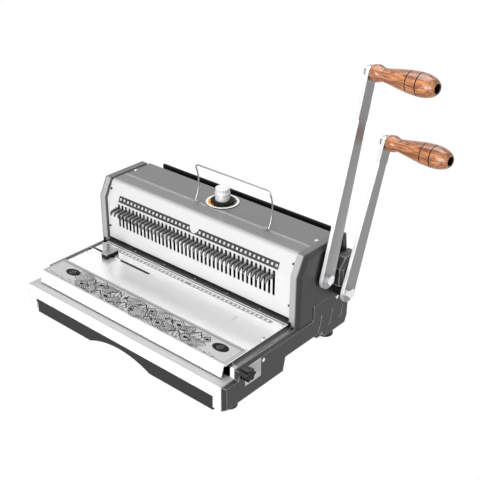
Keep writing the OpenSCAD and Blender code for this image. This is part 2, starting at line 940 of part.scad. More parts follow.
// The pin holder, the web behind it and a pad under each punch cam
module ram_bar() {
    ram_half = frame_in_x - ram_in;
    web_half = frame_in_x - ram_web_in;
    pad_z = punch_z - punch_cam_r - cam_gap;
    color([0.4, 0.4, 0.42]) {
        difference() {
            block(-ram_half, ram_half, pin_y - ram_ahead, guide_plate_rear, ram_low, ram_top);
            square_holes(slip, ram_low - over, ram_low + pin_pocket);
            both_sides()
                rod_z(guide_rod_x, guide_rod_y, ram_low - over, ram_top + over, guide_rod_r + slip);
        }
        block(-web_half, web_half, guide_plate_rear - over, punch_y + ram_behind,
            ram_low + holder_h, ram_top);
        both_sides()
            along_x(punch_cam_x - punch_cam_t, punch_cam_x + punch_cam_t)
                polygon([[punch_y - pad_half, ram_top - over], [punch_y - 2 * hair, pad_z],
                    [punch_y + 2 * hair, pad_z], [punch_y + pad_half, ram_top - over]]);
    }
}

module ram_guides() {
    color("silver")
        both_sides()
            rod_z(guide_rod_x, guide_rod_y, guide_top_z, ram_top + guide_rod_rise, guide_rod_r);
}

bush_t = 3;
bush_rim = 2;
bush_rim_t = 0.8;

module bush(y, z, r) {
    difference() {
        union() {
            rod_x(frame_in_x, frame_x, y, z, r + bush_t);
            rod_x(frame_in_x - bush_rim_t, frame_in_x, y, z, r + bush_t + bush_rim);
        }
        rod_x(frame_in_x - 2 * over, frame_x + over, y, z, r + slip);
    }
}

module shaft_bushes() {
    color([0.7, 0.55, 0.3])
        both_sides() {
            bush(punch_y, punch_z, punch_r);
            bush(closing_y, closing_z, closing_r);
        }
}

collar_wall = 3;

// Spacer ring between the cover and a lever
module shaft_collar(y, z, r, lever_x) {
    difference() {
        rod_x(side_x + seat, lever_x - slip, y, z, r + collar_wall);
        rod_x(side_x, lever_x, y, z, r + slip);
    }
}

module punch_shaft() {
    color("silver")
        rod_x(-frame_x, punch_lever_x, punch_y, punch_z, punch_r);
}

module punch_collar() {
    color([0.08, 0.08, 0.08])
        shaft_collar(punch_y, punch_z, punch_r, punch_lever_x);
}

module punch_cams() {
    color([0.45, 0.45, 0.46])
        both_sides()
            translate([0, punch_y, punch_z])
                along_x(punch_cam_x - punch_cam_t / 2, punch_cam_x + punch_cam_t / 2)
                    difference() {
                        rotate(-90)
                            mirror([0, 1])
                                polygon(cam_outline(punch_cam_r, ram_stroke, punch_swing, cam_lead));
                        circle(r = punch_r + slip);
                    }
}

// Closer

bracket_in = 10;
bracket_t = 5;
bracket_arm = 10;
bracket_down = 33;
bracket_up = 27;
eye_down = 19;
eye_up = 20.5;
nose = 3;
tie_h = 10;
stud_r = 3;
stud_down = 26;
stud_reach = 12;
bar_in = 19.5;
bar_down = 3;
bracket_x = frame_in_x - bracket_in;
bracket_top = closing_z + bracket_up;
stud_z = closing_z - stud_down;

module closing_shaft() {
    color("silver")
        rod_x(-frame_x, closing_lever_x, closing_y, closing_z, closing_r);
}

module closing_collar() {
    color([0.08, 0.08, 0.08])
        shaft_collar(closing_y, closing_z, closing_r, closing_lever_x);
}

module closing_cams() {
    color([0.45, 0.45, 0.46])
        both_sides()
            translate([0, closing_y, closing_z])
                along_x(bracket_x + hair, bracket_x + bracket_t - hair)
                    difference() {
                        rotate(180)
                            mirror([0, 1])
                                polygon(cam_outline(closing_cam_r, closing_stroke, closing_swing, cam_lead));
                        circle(r = closing_r + slip);
                    }
}

module stud_slot(y) {
    r = stud_r + slip;
    run = closing_stroke + hair;
    translate([y, stud_z])
        circle(r = r);
    translate([y + run, stud_z])
        circle(r = r);
    translate([y, stud_z - r])
        square([run, 2 * r]);
}

// Side plates of the closing bar: the cam turns in the eye and pushes its front nose
module closing_brackets() {
    eye_front = closing_y - closing_cam_r - cam_gap;
    eye_rear = closing_y + closing_cam_r + closing_stroke + over;
    front = eye_front - bracket_arm;
    rear = bar_y + bar_t;
    low = closing_z - bracket_down;
    color([0.35, 0.35, 0.36])
        both_sides()
            along_x(bracket_x, bracket_x + bracket_t)
                difference() {
                    polygon([[front, low], [front, bracket_top], [rear, bracket_top], [rear, low]]);
                    polygon([[eye_front - nose, closing_z - eye_down], [eye_front - nose, closing_z - nose],
                        [eye_front, closing_z - 2 * hair], [eye_front, closing_z + 2 * hair],
                        [eye_front - nose, closing_z + nose], [eye_front - nose, closing_z + eye_up],
                        [eye_rear, closing_z + eye_up], [eye_rear, closing_z - eye_down]]);
                    stud_slot(closing_y - stud_reach);
                    stud_slot(closing_y + stud_reach);
                }
}

module closing_guides() {
    color("silver")
        both_sides()
            for (y = [closing_y - stud_reach, closing_y + stud_reach]) {
                rod_x(bracket_x - over, frame_in_x, y, stud_z, stud_r);
                rod_x(bracket_x + bracket_t + seat, frame_in_x, y, stud_z, 2 * stud_r);
            }
}

// The bar is rounded at its top and reaches down to a tie between the brackets
module closing_bar() {
    bar_half = frame_in_x - bar_in;
    top = top_h - bar_down;
    tie_low = bracket_top - tie_h;
    color([0.06, 0.06, 0.06]) {
        along_x(-bar_half, bar_half) {
            translate([bar_y, tie_low])
                square([bar_t, top - tie_low]);
            translate([bar_y + bar_t / 2, top])
                circle(r = bar_t / 2);
        }
        block(-bracket_x, bracket_x, bar_y, bar_y + bar_t, tie_low, bracket_top);
    }
}

anvil_t = 4;
anvil_up = 22.2;

module anvil_plate() {
    y1 = throat_y - sheet;
    z0 = closing_z + closing_cam_r + closing_stroke + anvil_up;
    color([0.5, 0.5, 0.51])
        block(-head_half, head_half, y1 - anvil_t, y1, z0, top_h - sheet - seat);
}

// Dial, knob and snail cam

dial_t = 1.4;
skirt_r = 19;
skirt_h = 3;
skirt_z = top_h + dial_t + seat;
knob_ridges = 24;
ridge_r = 0.9;
ridge_h = 8;
spindle_len = 35;
snail_r = 12;
snail_rise = 6;
snail_t = 5;
snail_turn = 300;
snail_lead = 5;
snail_steps = 36;

module dial_plate() {
    color([0.1, 0.1, 0.1])
        difference() {
            rod_z(dial_x, dial_y, top_h, top_h + dial_t, dial_r);
            rod_z(dial_x, dial_y, top_h - over, top_h + dial_t + over, spindle_r + seat);
        }
}

module knob_skirt() {
    color([0.06, 0.06, 0.06])
        rod_z(dial_x, dial_y, skirt_z, skirt_z + skirt_h, skirt_r);
}

// The knob has a ring of fine flutes around its upper part
module size_knob() {
    z1 = top_h + knob_h;
    color([0.8, 0.8, 0.82])
        difference() {
            rod_z(dial_x, dial_y, skirt_z + skirt_h, z1, knob_r);
            for (i = [0:knob_ridges - 1])
                translate([dial_x, dial_y, 0])
                    rotate(360 * i / knob_ridges)
                        rod_z(knob_r + ridge_r / 2, 0, z1 - ridge_h, z1 + over, ridge_r);
        }
}

module size_spindle() {
    low = skirt_z - spindle_len;
    color("silver") {
        rod_z(dial_x, dial_y, low, skirt_z, spindle_r);
        translate([dial_x, dial_y, 0])
            along_z(low, low + snail_t)
                polygon(cam_outline(snail_r, snail_rise, snail_turn, snail_lead, snail_steps));
    }
}

// Wire bail

bail_left = -31.2;
bail_bow = 7;
bail_corner = 5;
bail_lean = 3;
pivot_up = 1.9;
clip_len = 5;
clip_wall = 0.9;
clip_gap = 0.5;
clip_off = bail_r + clip_gap;
ball_r = bail_r + hair / 2;
bail_pin = clip_off + clip_len;

// The foot, a leg and its rounded corner, at X = 0; the leg is one circle's arc that bows back
module bail_side(leg) {
    bow_r = (leg * leg / 4 + bail_bow * bail_bow) / (2 * bail_bow);
    half_angle = asin(leg / 2 / bow_r);
    rod_x(-bail_pin, 0, 0, 0, bail_r);
    sphere(r = ball_r);
    translate([0, bail_bow - bow_r, leg / 2])
        rotate([0, 0, 90])
            rotate([90, 0, 0])
                rotate([0, 0, -half_angle])
                    rotate_extrude(angle = 2 * half_angle)
                        translate([bow_r, 0])
                            circle(r = bail_r);
    translate([0, 0, leg])
        sphere(r = ball_r);
    translate([-bail_corner, 0, leg])
        rotate([90, 0, 0])
            rotate_extrude(angle = 90)
                translate([bail_corner, 0])
                    circle(r = bail_r);
}

module wire_bail() {
    half = bail_w / 2;
    rise = bail_h - pivot_up;
    color([0.75, 0.75, 0.77])
        translate([bail_left + half, joint_y, top_h + pivot_up])
            rotate([-bail_lean, 0, 0]) {
                both_sides()
                    translate([half, 0, 0])
                        bail_side(rise - bail_corner);
                rod_x(bail_corner - half, half - bail_corner, 0, rise, bail_r);
            }
}

// Low clips that hold the bail's feet
module bail_clips() {
    r = bail_r + slip;
    out = r + clip_wall;
    color([0.5, 0.5, 0.51])
        for (x = [bail_left + clip_off, bail_left + bail_w - bail_pin])
            difference() {
                block(x, x + clip_len, joint_y - out, joint_y + out, top_h, top_h + pivot_up + out);
                rod_x(x - over, x + clip_len + over, joint_y, top_h + pivot_up, r);
            }
}

// Levers

punch_twist_down = 67;
closing_twist_down = 30;
bolt_r = 4;
bolt_af = 14.5;
bolt_head_t = 5;
grip_bore_r = 4;
grip_hole_r = 6.5;
grip_hole_depth = 14;
washer_r = 5.5;
washer_t = 4;
nut_t = 5.5;
nut_r = 7;

// Places a piece in a lever's frame: X outward from the strip's middle, Z up along the strip
module in_lever(y, z, x, lean) {
    translate([x + lever_mid, y, z])
        rotate([-lean, 0, 0])
            children();
}

module in_punch_lever() {
    in_lever(punch_y, punch_z, punch_lever_x, punch_lean)
        children();
}

module in_closing_lever() {
    in_lever(closing_y, closing_z, closing_lever_x, closing_lean)
        children();
}

module at_grip(length) {
    rotate([0, 0, -lever_twist])
        translate([0, 0, length])
            children();
}

// A flat strip that narrows upward; above twist_z it is turned outward with the grip
module lever(length, twist_z) {
    w0 = lever_w / 2;
    w1 = lever_mid_w / 2;
    w2 = lever_top_w / 2;
    difference() {
        union() {
            along_x(-lever_mid, lever_mid) {
                circle(r = w0);
                polygon([[-w0, 0], [-w1, twist_z], [w1, twist_z], [w0, 0]]);
            }
            rotate([0, 0, -lever_twist])
                along_x(-lever_mid, lever_mid) {
                    polygon([[-w1, twist_z - over], [-w2, length], [w2, length], [w1, twist_z - over]]);
                    translate([0, length])
                        circle(r = w2);
                }
        }
        rod_x(-lever_t, lever_t, 0, 0, bolt_r + slip);
        at_grip(length)
            rod_x(-lever_t, lever_t, 0, 0, grip_bore_r + slip);
    }
}

module lever_bolt() {
    rod_x(-lever_mid, lever_mid + hair, 0, 0, bolt_r);
    translate([lever_mid, 0, 0])
        rotate([0, 90, 0])
            cylinder(h = bolt_head_t, d = bolt_af / cos(30), $fn = 6);
}

// A stud with a shoulder, a washer in the grip's counterbore and a nut behind the lever
module grip_stud() {
    root = lever_mid + grip_gap;
    seat_x = root + grip_len - grip_hole_depth;
    rod_x(-lever_mid - over, seat_x, 0, 0, grip_bore_r);
    rod_x(lever_mid, root - hair, 0, 0, 2 * grip_bore_r);
    rod_x(seat_x, seat_x + washer_t, 0, 0, washer_r);
    rod_x(-lever_mid - nut_t, -lever_mid, 0, 0, nut_r);
}

// How the turned profile goes from one station to the next, for u from 0 to 1
belly = len(grip_radii) - 2;
dome_share = 0.97;
bulge_share = 0.75;
function wave(u) = (1 - cos(180 * u)) / 2;
function dome(u) = 1 - sqrt(1 - u * u);
function fall(u) = dome(dome_share * u) / dome(dome_share);
function rise(u) = bulge_share * sin(90 * u) + (1 - bulge_share) * wave(u);
function blend(k, u) = k == belly ? fall(u) : k == belly - 1 ? rise(u) : wave(u);
function grip_at(k, u) = [grip_radii[k] + (grip_radii[k + 1] - grip_radii[k]) * blend(k, u),
    (grip_shares[k] + (grip_shares[k + 1] - grip_shares[k]) * u) * grip_len];
grip_steps = [3, 6, 10, 10];
groove_shares = [0.6, 0.76];
groove_w = 1;
groove_in = 1.6;

module grip() {
    bore = grip_bore_r + slip;
    hole_z = grip_len - grip_hole_depth;
    profile = [for (k = [0:belly], i = [0:grip_steps[k] - 1]) grip_at(k, i / grip_steps[k])];
    color([0.55, 0.26, 0.14])
        translate([lever_mid + grip_gap, 0, 0])
            rotate([0, 90, 0])
                difference() {
                    rotate_extrude()
                        polygon(concat([[bore, 0]], profile, [[grip_end_r, grip_len],
                            [grip_hole_r, grip_len], [grip_hole_r, hole_z], [bore, hole_z]]));
                    for (s = groove_shares)
                        translate([0, 0, s * grip_len - groove_w / 2])
                            rotate_extrude()
                                translate([grip_r - groove_in, 0])
                                    square([grip_r, groove_w]);
                }
}

module punch_lever() {
    color([0.6, 0.6, 0.61])
        in_punch_lever()
            lever(punch_len, punch_len - punch_twist_down);
}

module punch_bolt() {
    color([0.45, 0.45, 0.46])
        in_punch_lever()
            lever_bolt();
}

module punch_stud() {
    color([0.75, 0.75, 0.76])
        in_punch_lever()
            at_grip(punch_len)
                grip_stud();
}

module punch_grip() {
    in_punch_lever()
        at_grip(punch_len)
            grip();
}

module closing_lever() {
    color([0.6, 0.6, 0.61])
        in_closing_lever()
            lever(closing_len, closing_len - closing_twist_down);
}

module closing_bolt() {
    color([0.45, 0.45, 0.46])
        in_closing_lever()
            lever_bolt();
}

module closing_stud() {
    color([0.75, 0.75, 0.76])
        in_closing_lever()
            at_grip(closing_len)
                grip_stud();
}

module closing_grip() {
    in_closing_lever()
        at_grip(closing_len)
            grip();
}

// Screws

screw_r = 3;
panel_screw_r = 2;
deck_screw_right_in = 4.1;
deck_screw_left_in = 3.1;
deck_screw_ahead = 20;
deck_screw_back = 10;
top_screw_in = 4.9;
top_screw_y = 61.6;
side_screw_back = 83;
side_screw_down = 10.8;
rear_screw_ahead = 37.2;
rear_screw_down = 9.1;
panel_screw_in = 3.4;
panel_screw_z = 101;
facet_screw_up = 17;

// Screws of the deck, the top cover and the side covers
module cover_screws() {
    top_screw_x = head_half - top_screw_in;
    side_screws = [[side_screw_back - front_reach, rail_h - side_screw_down],
        [rear_reach - rear_screw_ahead, seam_h - rear_screw_down]];
    color("silver") {
        for (x = [deck_screw_left_in - deck_left, deck_right - deck_screw_right_in],
            y = [guide_slot_y - deck_screw_ahead, -deck_rear - deck_screw_back])
            rod_z(x, y, deck_h, deck_h + screw_h, screw_r);
        for (x = [-top_screw_x, top_screw_x])
            rod_z(x, top_screw_y, top_h, top_h + screw_h, screw_r);
        both_sides()
            for (p = side_screws)
                rod_x(side_x, side_x + screw_h, p[0], p[1], screw_r);
    }
}

// Black screws at the ends of the head panel and of the slanted face
module panel_screws() {
    x = head_half - panel_screw_in;
    color([0.08, 0.08, 0.08])
        both_sides() {
            along_y(-screw_h, 0)
                translate([x, panel_screw_z])
                    circle(r = panel_screw_r);
            on_facet()
                along_y(-screw_h, 0)
                    translate([x, facet_screw_up])
                        circle(r = panel_screw_r);
        }
}

placed() base_pan();
placed() feet();
placed() fascia();
placed() side_cover_left();
placed() side_cover_right();
placed() chip_drawer();
placed() deck();
placed() label_plate();
placed() knob_plate();
placed() side_guide();
placed() guide_slider();
placed() margin_knob();
placed() margin_shaft();
placed() depth_slide();
placed() end_frame_left();
placed() end_frame_right();
placed() end_cover_left();
placed() end_cover_right();
placed() front_cover();
placed() top_cover();
placed() hole_strip();
placed() hook_comb();
placed() die_plate();
placed() pin_guide();
placed() punch_pins();
placed() ram_bar();
placed() ram_guides();
placed() shaft_bushes();
placed() punch_shaft();
placed() punch_collar();
placed() punch_cams();
placed() closing_shaft();
placed() closing_collar();
placed() closing_cams();
placed() closing_bar();
placed() closing_brackets();
placed() closing_guides();
placed() anvil_plate();
placed() rear_panel();
placed() rear_guard();
placed() lever_housing();
placed() dial_plate();
placed() knob_skirt();
placed() size_knob();
placed() size_spindle();
placed() wire_bail();
placed() bail_clips();
placed() punch_lever();
placed() punch_bolt();
placed() punch_stud();
placed() punch_grip();
placed() closing_lever();
placed() closing_bolt();
placed() closing_stud();
placed() closing_grip();
placed() cover_screws();
placed() panel_screws();
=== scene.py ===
"""Looks of a manual wire binding machine, laid out as a Blender add-on and run as a script."""

import json
from math import asin, cos, pi, radians, sin, sqrt

import bmesh
import bpy
from bpy.props import FloatProperty, FloatVectorProperty, IntProperty, PointerProperty
from bpy.types import Operator, Panel, PropertyGroup
from mathutils import Matrix, Vector


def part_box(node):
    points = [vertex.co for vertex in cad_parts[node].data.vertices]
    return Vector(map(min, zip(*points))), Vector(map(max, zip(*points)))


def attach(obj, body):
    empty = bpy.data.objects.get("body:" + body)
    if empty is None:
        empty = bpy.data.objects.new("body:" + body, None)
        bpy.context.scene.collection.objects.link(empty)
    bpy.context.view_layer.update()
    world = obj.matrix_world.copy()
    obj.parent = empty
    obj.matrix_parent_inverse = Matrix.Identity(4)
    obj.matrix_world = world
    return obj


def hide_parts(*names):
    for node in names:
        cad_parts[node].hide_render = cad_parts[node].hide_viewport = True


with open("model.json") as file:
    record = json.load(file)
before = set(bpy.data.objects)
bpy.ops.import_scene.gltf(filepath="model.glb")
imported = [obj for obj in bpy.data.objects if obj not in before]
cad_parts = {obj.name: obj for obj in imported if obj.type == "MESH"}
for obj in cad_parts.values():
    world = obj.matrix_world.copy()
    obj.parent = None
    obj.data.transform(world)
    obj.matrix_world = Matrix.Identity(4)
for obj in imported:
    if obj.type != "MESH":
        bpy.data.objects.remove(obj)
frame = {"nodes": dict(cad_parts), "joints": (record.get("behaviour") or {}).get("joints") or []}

bl_info = {
    "name": "Wire binding machine",
    "version": (1, 0, 0),
    "blender": (4, 5, 0),
    "location": "View3D > Sidebar > Binder",
    "description": "Materials, print, knobs, stage and camera of a wire binding machine",
    "category": "Object",
}

MM = 0.001
ALONG_X = (1.0, 0.0, 0.0)
ALONG_Y = (0.0, 1.0, 0.0)
UPWARD = (0.0, 0.0, 1.0)
# Stretch of brushed grain, long along X
BRUSHED = (0.06, 1.0, 1.0)

# How squarely a face looks to the front to take painted light, or sideways to be a slot's wall with painted
# shade
FRONT_LIMIT = 0.62
SLOT_LIMIT = 0.5

DUST_COLOUR = (0.72, 0.7, 0.67)
# Painted shade for the grips' grazing edges, grooves and bores
WOOD_RIM_SHADE = (0.1, 0.028, 0.012)
PAINTED_SHADE_COLOUR = (0.012, 0.006, 0.004)


# Settings


def metres(name, description, default):
    """A length in metres, shown to a hundredth of a millimetre."""
    return FloatProperty(name=name, description=description, default=default, unit="LENGTH", precision=5)


def degrees(name, description, default):
    """An angle, given in degrees."""
    return FloatProperty(name=name, description=description, default=radians(default), subtype="ANGLE")


def plain(name, description, default):
    """A plain number, such as a share or a strength."""
    return FloatProperty(name=name, description=description, default=default)


def whole(name, description, default):
    """How often something repeats."""
    return IntProperty(name=name, description=description, default=default)


def point(name, description, default):
    """A place in metres, or a pair of shares."""
    return FloatVectorProperty(name=name, description=description, size=len(default), default=default)


def paint(name, description, default):
    """A linear colour."""
    return FloatVectorProperty(name=name, description=description, subtype="COLOR", default=default)


class BinderCamera(PropertyGroup):
    location: point("Location", "Where the camera stands", (0.8276, -0.9207, 0.8191))
    azimuth: degrees("Azimuth", "Turn of the view towards the left", 40.98)
    elevation: degrees("Elevation", "How far the camera looks down", 28.0)
    roll: degrees("Roll", "Tilt about the line of sight", 0.33)
    lens: plain("Focal length", "Focal length in millimetres", 70.0)
    sensor: plain("Sensor width", "Width of the sensor in millimetres", 36.0)


class BinderStage(PropertyGroup):
    floor_half: metres("Floor half width", "Half the floor's side", 9.0)
    floor_white: plain("Floor white", "Share of plain white in the seen floor", 1.0)
    ambient: plain("Ambient", "Strength of the even light from all round", 0.07)
    mirrored: plain("Mirrored", "How bright the room looks in reflections", 0.9)
    light_size: metres("Light size", "Side of the square lights", 1.8)
    key_power: plain("Key light", "Power of the light in front in watts", 92.0)
    key_place: point("Key place", "Where the light in front stands", (0.55, -2.6, 0.55))
    key_target: point("Key target", "What it looks at", (0.0, 0.0, 0.12))
    top_power: plain("Top light", "Power of the light overhead in watts", 50.0)
    top_place: point("Top place", "Where the light overhead hangs", (-0.4, 0.3, 2.3))
    top_target: point("Top target", "What it looks at", (0.0, 0.0, 0.0))


class BinderColours(PropertyGroup):
    covers: paint("Side covers", "Charcoal paint of the side covers", (0.022, 0.022, 0.023))
    wood_dark: paint("Dark wood", "Darker streaks of the grips", (0.23, 0.072, 0.024))
    wood_light: paint("Light wood", "Lighter streaks of the grips", (0.62, 0.25, 0.1))
    arc: paint("Arc", "Coloured arc on the dial", (0.75, 0.27, 0.03))


class BinderFinish(PropertyGroup):
    edge: metres("Edge radius", "How softly sharp edges catch the light", 0.5 * MM)
    # Strength of the painted highlights on rounded edges
    wear: plain("Edge wear", "How much lighter worn edges are", 0.9)
    dust: plain("Dust", "How much fine dust lies on level faces", 0.12)


class BinderPrint(PropertyGroup):
    pitch: metres("Pitch", "Distance between printed squares", 25.4 / 3 * MM)
    line: metres("Line", "Width of a printed line", 0.9 * MM)
    lift: metres("Lift", "Thickness of the printed film", 0.06 * MM)
    joint_line: metres("Joint line", "Width of the cover joint's bright edges", 0.495 * MM)
    joint_step: metres("Joint step", "From one bright edge to the next", 2.97 * MM)


class BinderDeckPrint(PropertyGroup):
    rear_line: metres("Rear line", "Width of the rear line", 1.7 * MM)
    channel: metres("Channel", "Width of the grey channel between them", 2.5 * MM)
    front_line: metres("Front line", "Width of the front line", 1.6 * MM)
    squares: whole("Squares", "Number of printed squares", 38)
    square: metres("Square", "Side of a printed square", 4.4 * MM)
    row_x: metres("Row centre", "From the body's middle to the row's", 8 * MM)
    mark_x: metres("Paper mark", "From the body's middle to the mark", 128.4 * MM)


class BinderLabel(PropertyGroup):
    strip: metres("Strip", "Depth of the strip along the rear edge", 5 * MM)
    ovals: point("Ovals", "Places as shares of the plate", (0.11, 0.92))
    oval_width: metres("Oval width", "Half the width of an oval", 14 * MM)
    oval_depth: metres("Oval depth", "Half the depth of an oval", 9 * MM)
    figures: whole("Figures", "Number of line figures", 29)
    dashes: whole("Dashes", "Number of dashes along the front edge", 44)


class BinderKnob(PropertyGroup):
    ridges: whole("Ridges", "Number of ridges round the size knob", 24)
    cap_height: metres("Cap height", "Height of the knob's ridged cap", 8 * MM)
    ridge_depth: metres("Ridge depth", "Depth of the grip ridges", 0.45 * MM)
    edge: metres("Edge", "Chamfer of the knob's edges", 0.6 * MM)


class BinderDial(PropertyGroup):
    rim: metres("Rim", "Width of the pale rim", 3.6 * MM)
    arc: metres("Arc", "Width of the coloured arc", 4 * MM)
    arc_turn: degrees("Arc turn", "How far the coloured arc goes round", 120)
    start: degrees("Start", "Where the arc and the numbers start", 150)
    turn: degrees("Turn", "How far the numbers go round", 300)
    numbers: whole("Numbers", "Number of plain numbers round the dial", 9)
    figure: metres("Figure size", "Height of the numbers' type", 3.2 * MM)


class BinderBail(PropertyGroup):
    radius: metres("Wire radius", "Radius of the bail's wire", 1.2 * MM)
    corner: metres("Corner", "Bend radius of the bail's corners", 5 * MM)
    bow: metres("Bow", "How far the legs bow back", 7 * MM)
    foot: metres("Foot", "Length of the feet in their clips", 6.7 * MM)
    lean: degrees("Lean", "How far the bail leans back", 3)


class BinderGrip(PropertyGroup):
    start: metres("Start", "From the lever's middle to the grip", 5.25 * MM)
    length: metres("Length", "Length of a grip", 104 * MM)
    hole_radius: metres("Hole radius", "Radius of the dark bore in the end", 6.7 * MM)
    groove: metres("Groove", "Width of a burnt groove", 1.8 * MM)
    grooves: point("Grooves", "Places as shares of the length", (0.6, 0.76))


class BinderSettings(PropertyGroup):
    camera: PointerProperty(type=BinderCamera)
    stage: PointerProperty(type=BinderStage)
    colours: PointerProperty(type=BinderColours)
    finish: PointerProperty(type=BinderFinish)
    print: PointerProperty(type=BinderPrint)
    deck: PointerProperty(type=BinderDeckPrint)
    label: PointerProperty(type=BinderLabel)
    knob: PointerProperty(type=BinderKnob)
    dial: PointerProperty(type=BinderDial)
    bail: PointerProperty(type=BinderBail)
    grip: PointerProperty(type=BinderGrip)


# Mesh helpers


def new_object(name, bm, material, body):
    """Turns a bmesh into an object with a material, by name, that rides on a body."""
    mesh = bpy.data.meshes.new(name)
    bm.to_mesh(mesh)
    bm.free()
    obj = bpy.data.objects.new(name, mesh)
    bpy.context.scene.collection.objects.link(obj)
    mesh.materials.append(bpy.data.materials[material])
    if body:
        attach(obj, body)
    return obj


def prism(bm, outline, low, high, place=Matrix.Identity(4)):
    """Adds a closed prism: an outline of (x, y) points between two heights."""
    bottom = [bm.verts.new(place @ Vector((x, y, low))) for x, y in outline]
    top = [bm.verts.new(place @ Vector((x, y, high))) for x, y in outline]
    skin(bm, [bottom, top])


def skin(bm, rows, smooth=False):
    """Closes rows of vertices, each one a loop, into a solid."""
    steps = len(rows[0])
    for lower, upper in zip(rows, rows[1:]):
        for i in range(steps):
            j = (i + 1) % steps
            bm.faces.new((lower[i], lower[j], upper[j], upper[i])).smooth = smooth
    bm.faces.new(rows[0][::-1])
    bm.faces.new(rows[-1])


def ring(bm, inner, outer, low, high, centre, start=0.0, turn=2 * pi, steps=64):
    """Adds a flat ring, or a part of one, as a closed strip of short prisms."""
    x, y = centre
    for i in range(steps):
        a = start + turn * i / steps
        b = start + turn * (i + 1) / steps
        corners = ((inner, a), (outer, a), (outer, b), (inner, b))
        prism(bm, [(x + r * cos(t), y + r * sin(t)) for r, t in corners], low, high)


def lathe(bm, profile, centre, ridged=None, steps=96):
    """Turns (radius, height, shaped) points about an upright axis; ridged() shapes the rows that say so."""
    x, y = centre
    rows = []
    for radius, height, shaped in profile:
        row = []
        for i in range(steps):
            a = 2 * pi * i / steps
            r = ridged(radius, a) if shaped else radius
            row.append(bm.verts.new((x + r * cos(a), y + r * sin(a), height)))
        rows.append(row)
    skin(bm, rows)


def sweep(bm, path, radius, steps=14):
    """Runs a smooth round wire along a path of points."""
    rows = []
    for i, spot in enumerate(path):
        ahead = (path[min(i + 1, len(path) - 1)] - path[max(i - 1, 0)]).normalized()
        # The bail's path is never parallel to this direction
        side = ahead.cross(Vector((0.0, 1.0, 0.1))).normalized()
        other = ahead.cross(side)
        turns = [2 * pi * k / steps for k in range(steps)]
        rows.append([bm.verts.new(spot + radius * (cos(t) * side + sin(t) * other)) for t in turns])
    skin(bm, rows, smooth=True)


# Outlines


def rectangle(x0, x1, y0, y1):
    return [(x0, y0), (x1, y0), (x1, y1), (x0, y1)]


def ellipse(x, y, rx, ry, steps=40):
    return [(x + rx * cos(2 * pi * i / steps), y + ry * sin(2 * pi * i / steps)) for i in range(steps)]


def stroke(points, width):
    """A closed outline round an open line of points."""
    left, right = [], []
    for i, (x, y) in enumerate(points):
        px, py = points[max(i - 1, 0)]
        nx, ny = points[min(i + 1, len(points) - 1)]
        length = sqrt((nx - px) ** 2 + (ny - py) ** 2)
        ox, oy = -(ny - py) / length * width / 2, (nx - px) / length * width / 2
        left.append((x + ox, y + oy))
        right.append((x - ox, y - oy))
    return left + right[::-1]


def contour(x, y, radius, phase, steps=28):
    """A wavy closed loop, wider than deep."""
    points = []
    for i in range(steps + 1):
        a = 2 * pi * i / steps
        r = radius * (1 + 0.16 * sin(3 * a + phase) + 0.07 * sin(5 * a + 2 * phase))
        points.append((x + 1.5 * r * cos(a), y + r * sin(a)))
    return points


def box_lines(x0, x1, y0, y1, width):
    """The four bars of a rectangular frame."""
    return [
        rectangle(x0, x1, y0, y0 + width),
        rectangle(x0, x1, y1 - width, y1),
        rectangle(x0, x0 + width, y0 + width, y1 - width),
        rectangle(x1 - width, x1, y0 + width, y1 - width),
    ]


def rings_motif(x, y, size, line, turn):
    """Nested wavy rings."""
    return [stroke(contour(x, y, size * (0.2 + 0.2 * k), turn + 0.25 * k), line) for k in range(5)]


def sheet_motif(x, y, size, line, turn):
    """A tilted sheet with ruled lines and a dark patch."""
    corner = [(1.5, 0.1), (0.2, 0.9), (-1.5, -0.1), (-0.2, -0.9)]
    points = [Vector((x + size * a * cos(turn / 6), y + size * b)) for a, b in corner]
    shapes = [stroke([*points, points[0]], 1.4 * line)]
    for k in range(1, 6):
        start = points[0].lerp(points[1], k / 6)
        end = points[3].lerp(points[2], k / 6)
        shapes.append(stroke([start, end], 0.7 * line))
    shapes.append(ellipse(x, y, 0.34 * size, 0.22 * size, 16))
    return shapes


def zigzag_motif(x, y, size, line, turn):
    """Crossed strokes, a chevron and a few dots."""
    shapes = []
    for k in range(4):
        dx = (k - 1.5) * 0.6 * size
        lean = 0.5 * size * cos(turn + k)
        shapes.append(stroke([(x + dx - lean, y - 0.8 * size), (x + dx + lean, y + 0.8 * size)], line))
    chevron = [(x - 0.9 * size, y - 0.2 * size), (x, y + 0.6 * size), (x + 0.9 * size, y - 0.2 * size)]
    shapes.append(stroke(chevron, 2.2 * line))
    for k in range(3):
        shapes.append(ellipse(x + (k - 1) * 0.8 * size, y - 0.7 * size, 0.09 * size, 0.09 * size, 10))
    return shapes


# Shader helpers


def group(name, outputs, inputs=()):
    """A shader node group with its sockets; returns the tree, its input and its output node."""
    tree = bpy.data.node_groups.new(name, "ShaderNodeTree")
    for label, kind, default in inputs:
        socket = tree.interface.new_socket(label, in_out="INPUT", socket_type=kind)
        socket.default_value = default
    for label, kind in outputs:
        tree.interface.new_socket(label, in_out="OUTPUT", socket_type=kind)
    return tree, tree.nodes.new("NodeGroupInput"), tree.nodes.new("NodeGroupOutput")


def use_group(tree, name, **values):
    node = tree.nodes.new("ShaderNodeGroup")
    node.node_tree = bpy.data.node_groups[name]
    for label, value in values.items():
        node.inputs[label].default_value = value
    return node


def feed(tree, socket, value):
    """Links a socket to another one, or sets it to a plain value."""
    if isinstance(value, bpy.types.NodeSocket):
        tree.links.new(value, socket)
    else:
        socket.default_value = value


def operation(tree, node_type, kind, *values):
    """A math node; each of its values is a socket or a plain number or vector."""
    node = tree.nodes.new(node_type)
    node.operation = kind
    for socket, value in zip(node.inputs, values):
        feed(tree, socket, value)
    return node


def maths(tree, kind, *values):
    return operation(tree, "ShaderNodeMath", kind, *values).outputs[0]


def vector_maths(tree, kind, *values):
    return operation(tree, "ShaderNodeVectorMath", kind, *values)


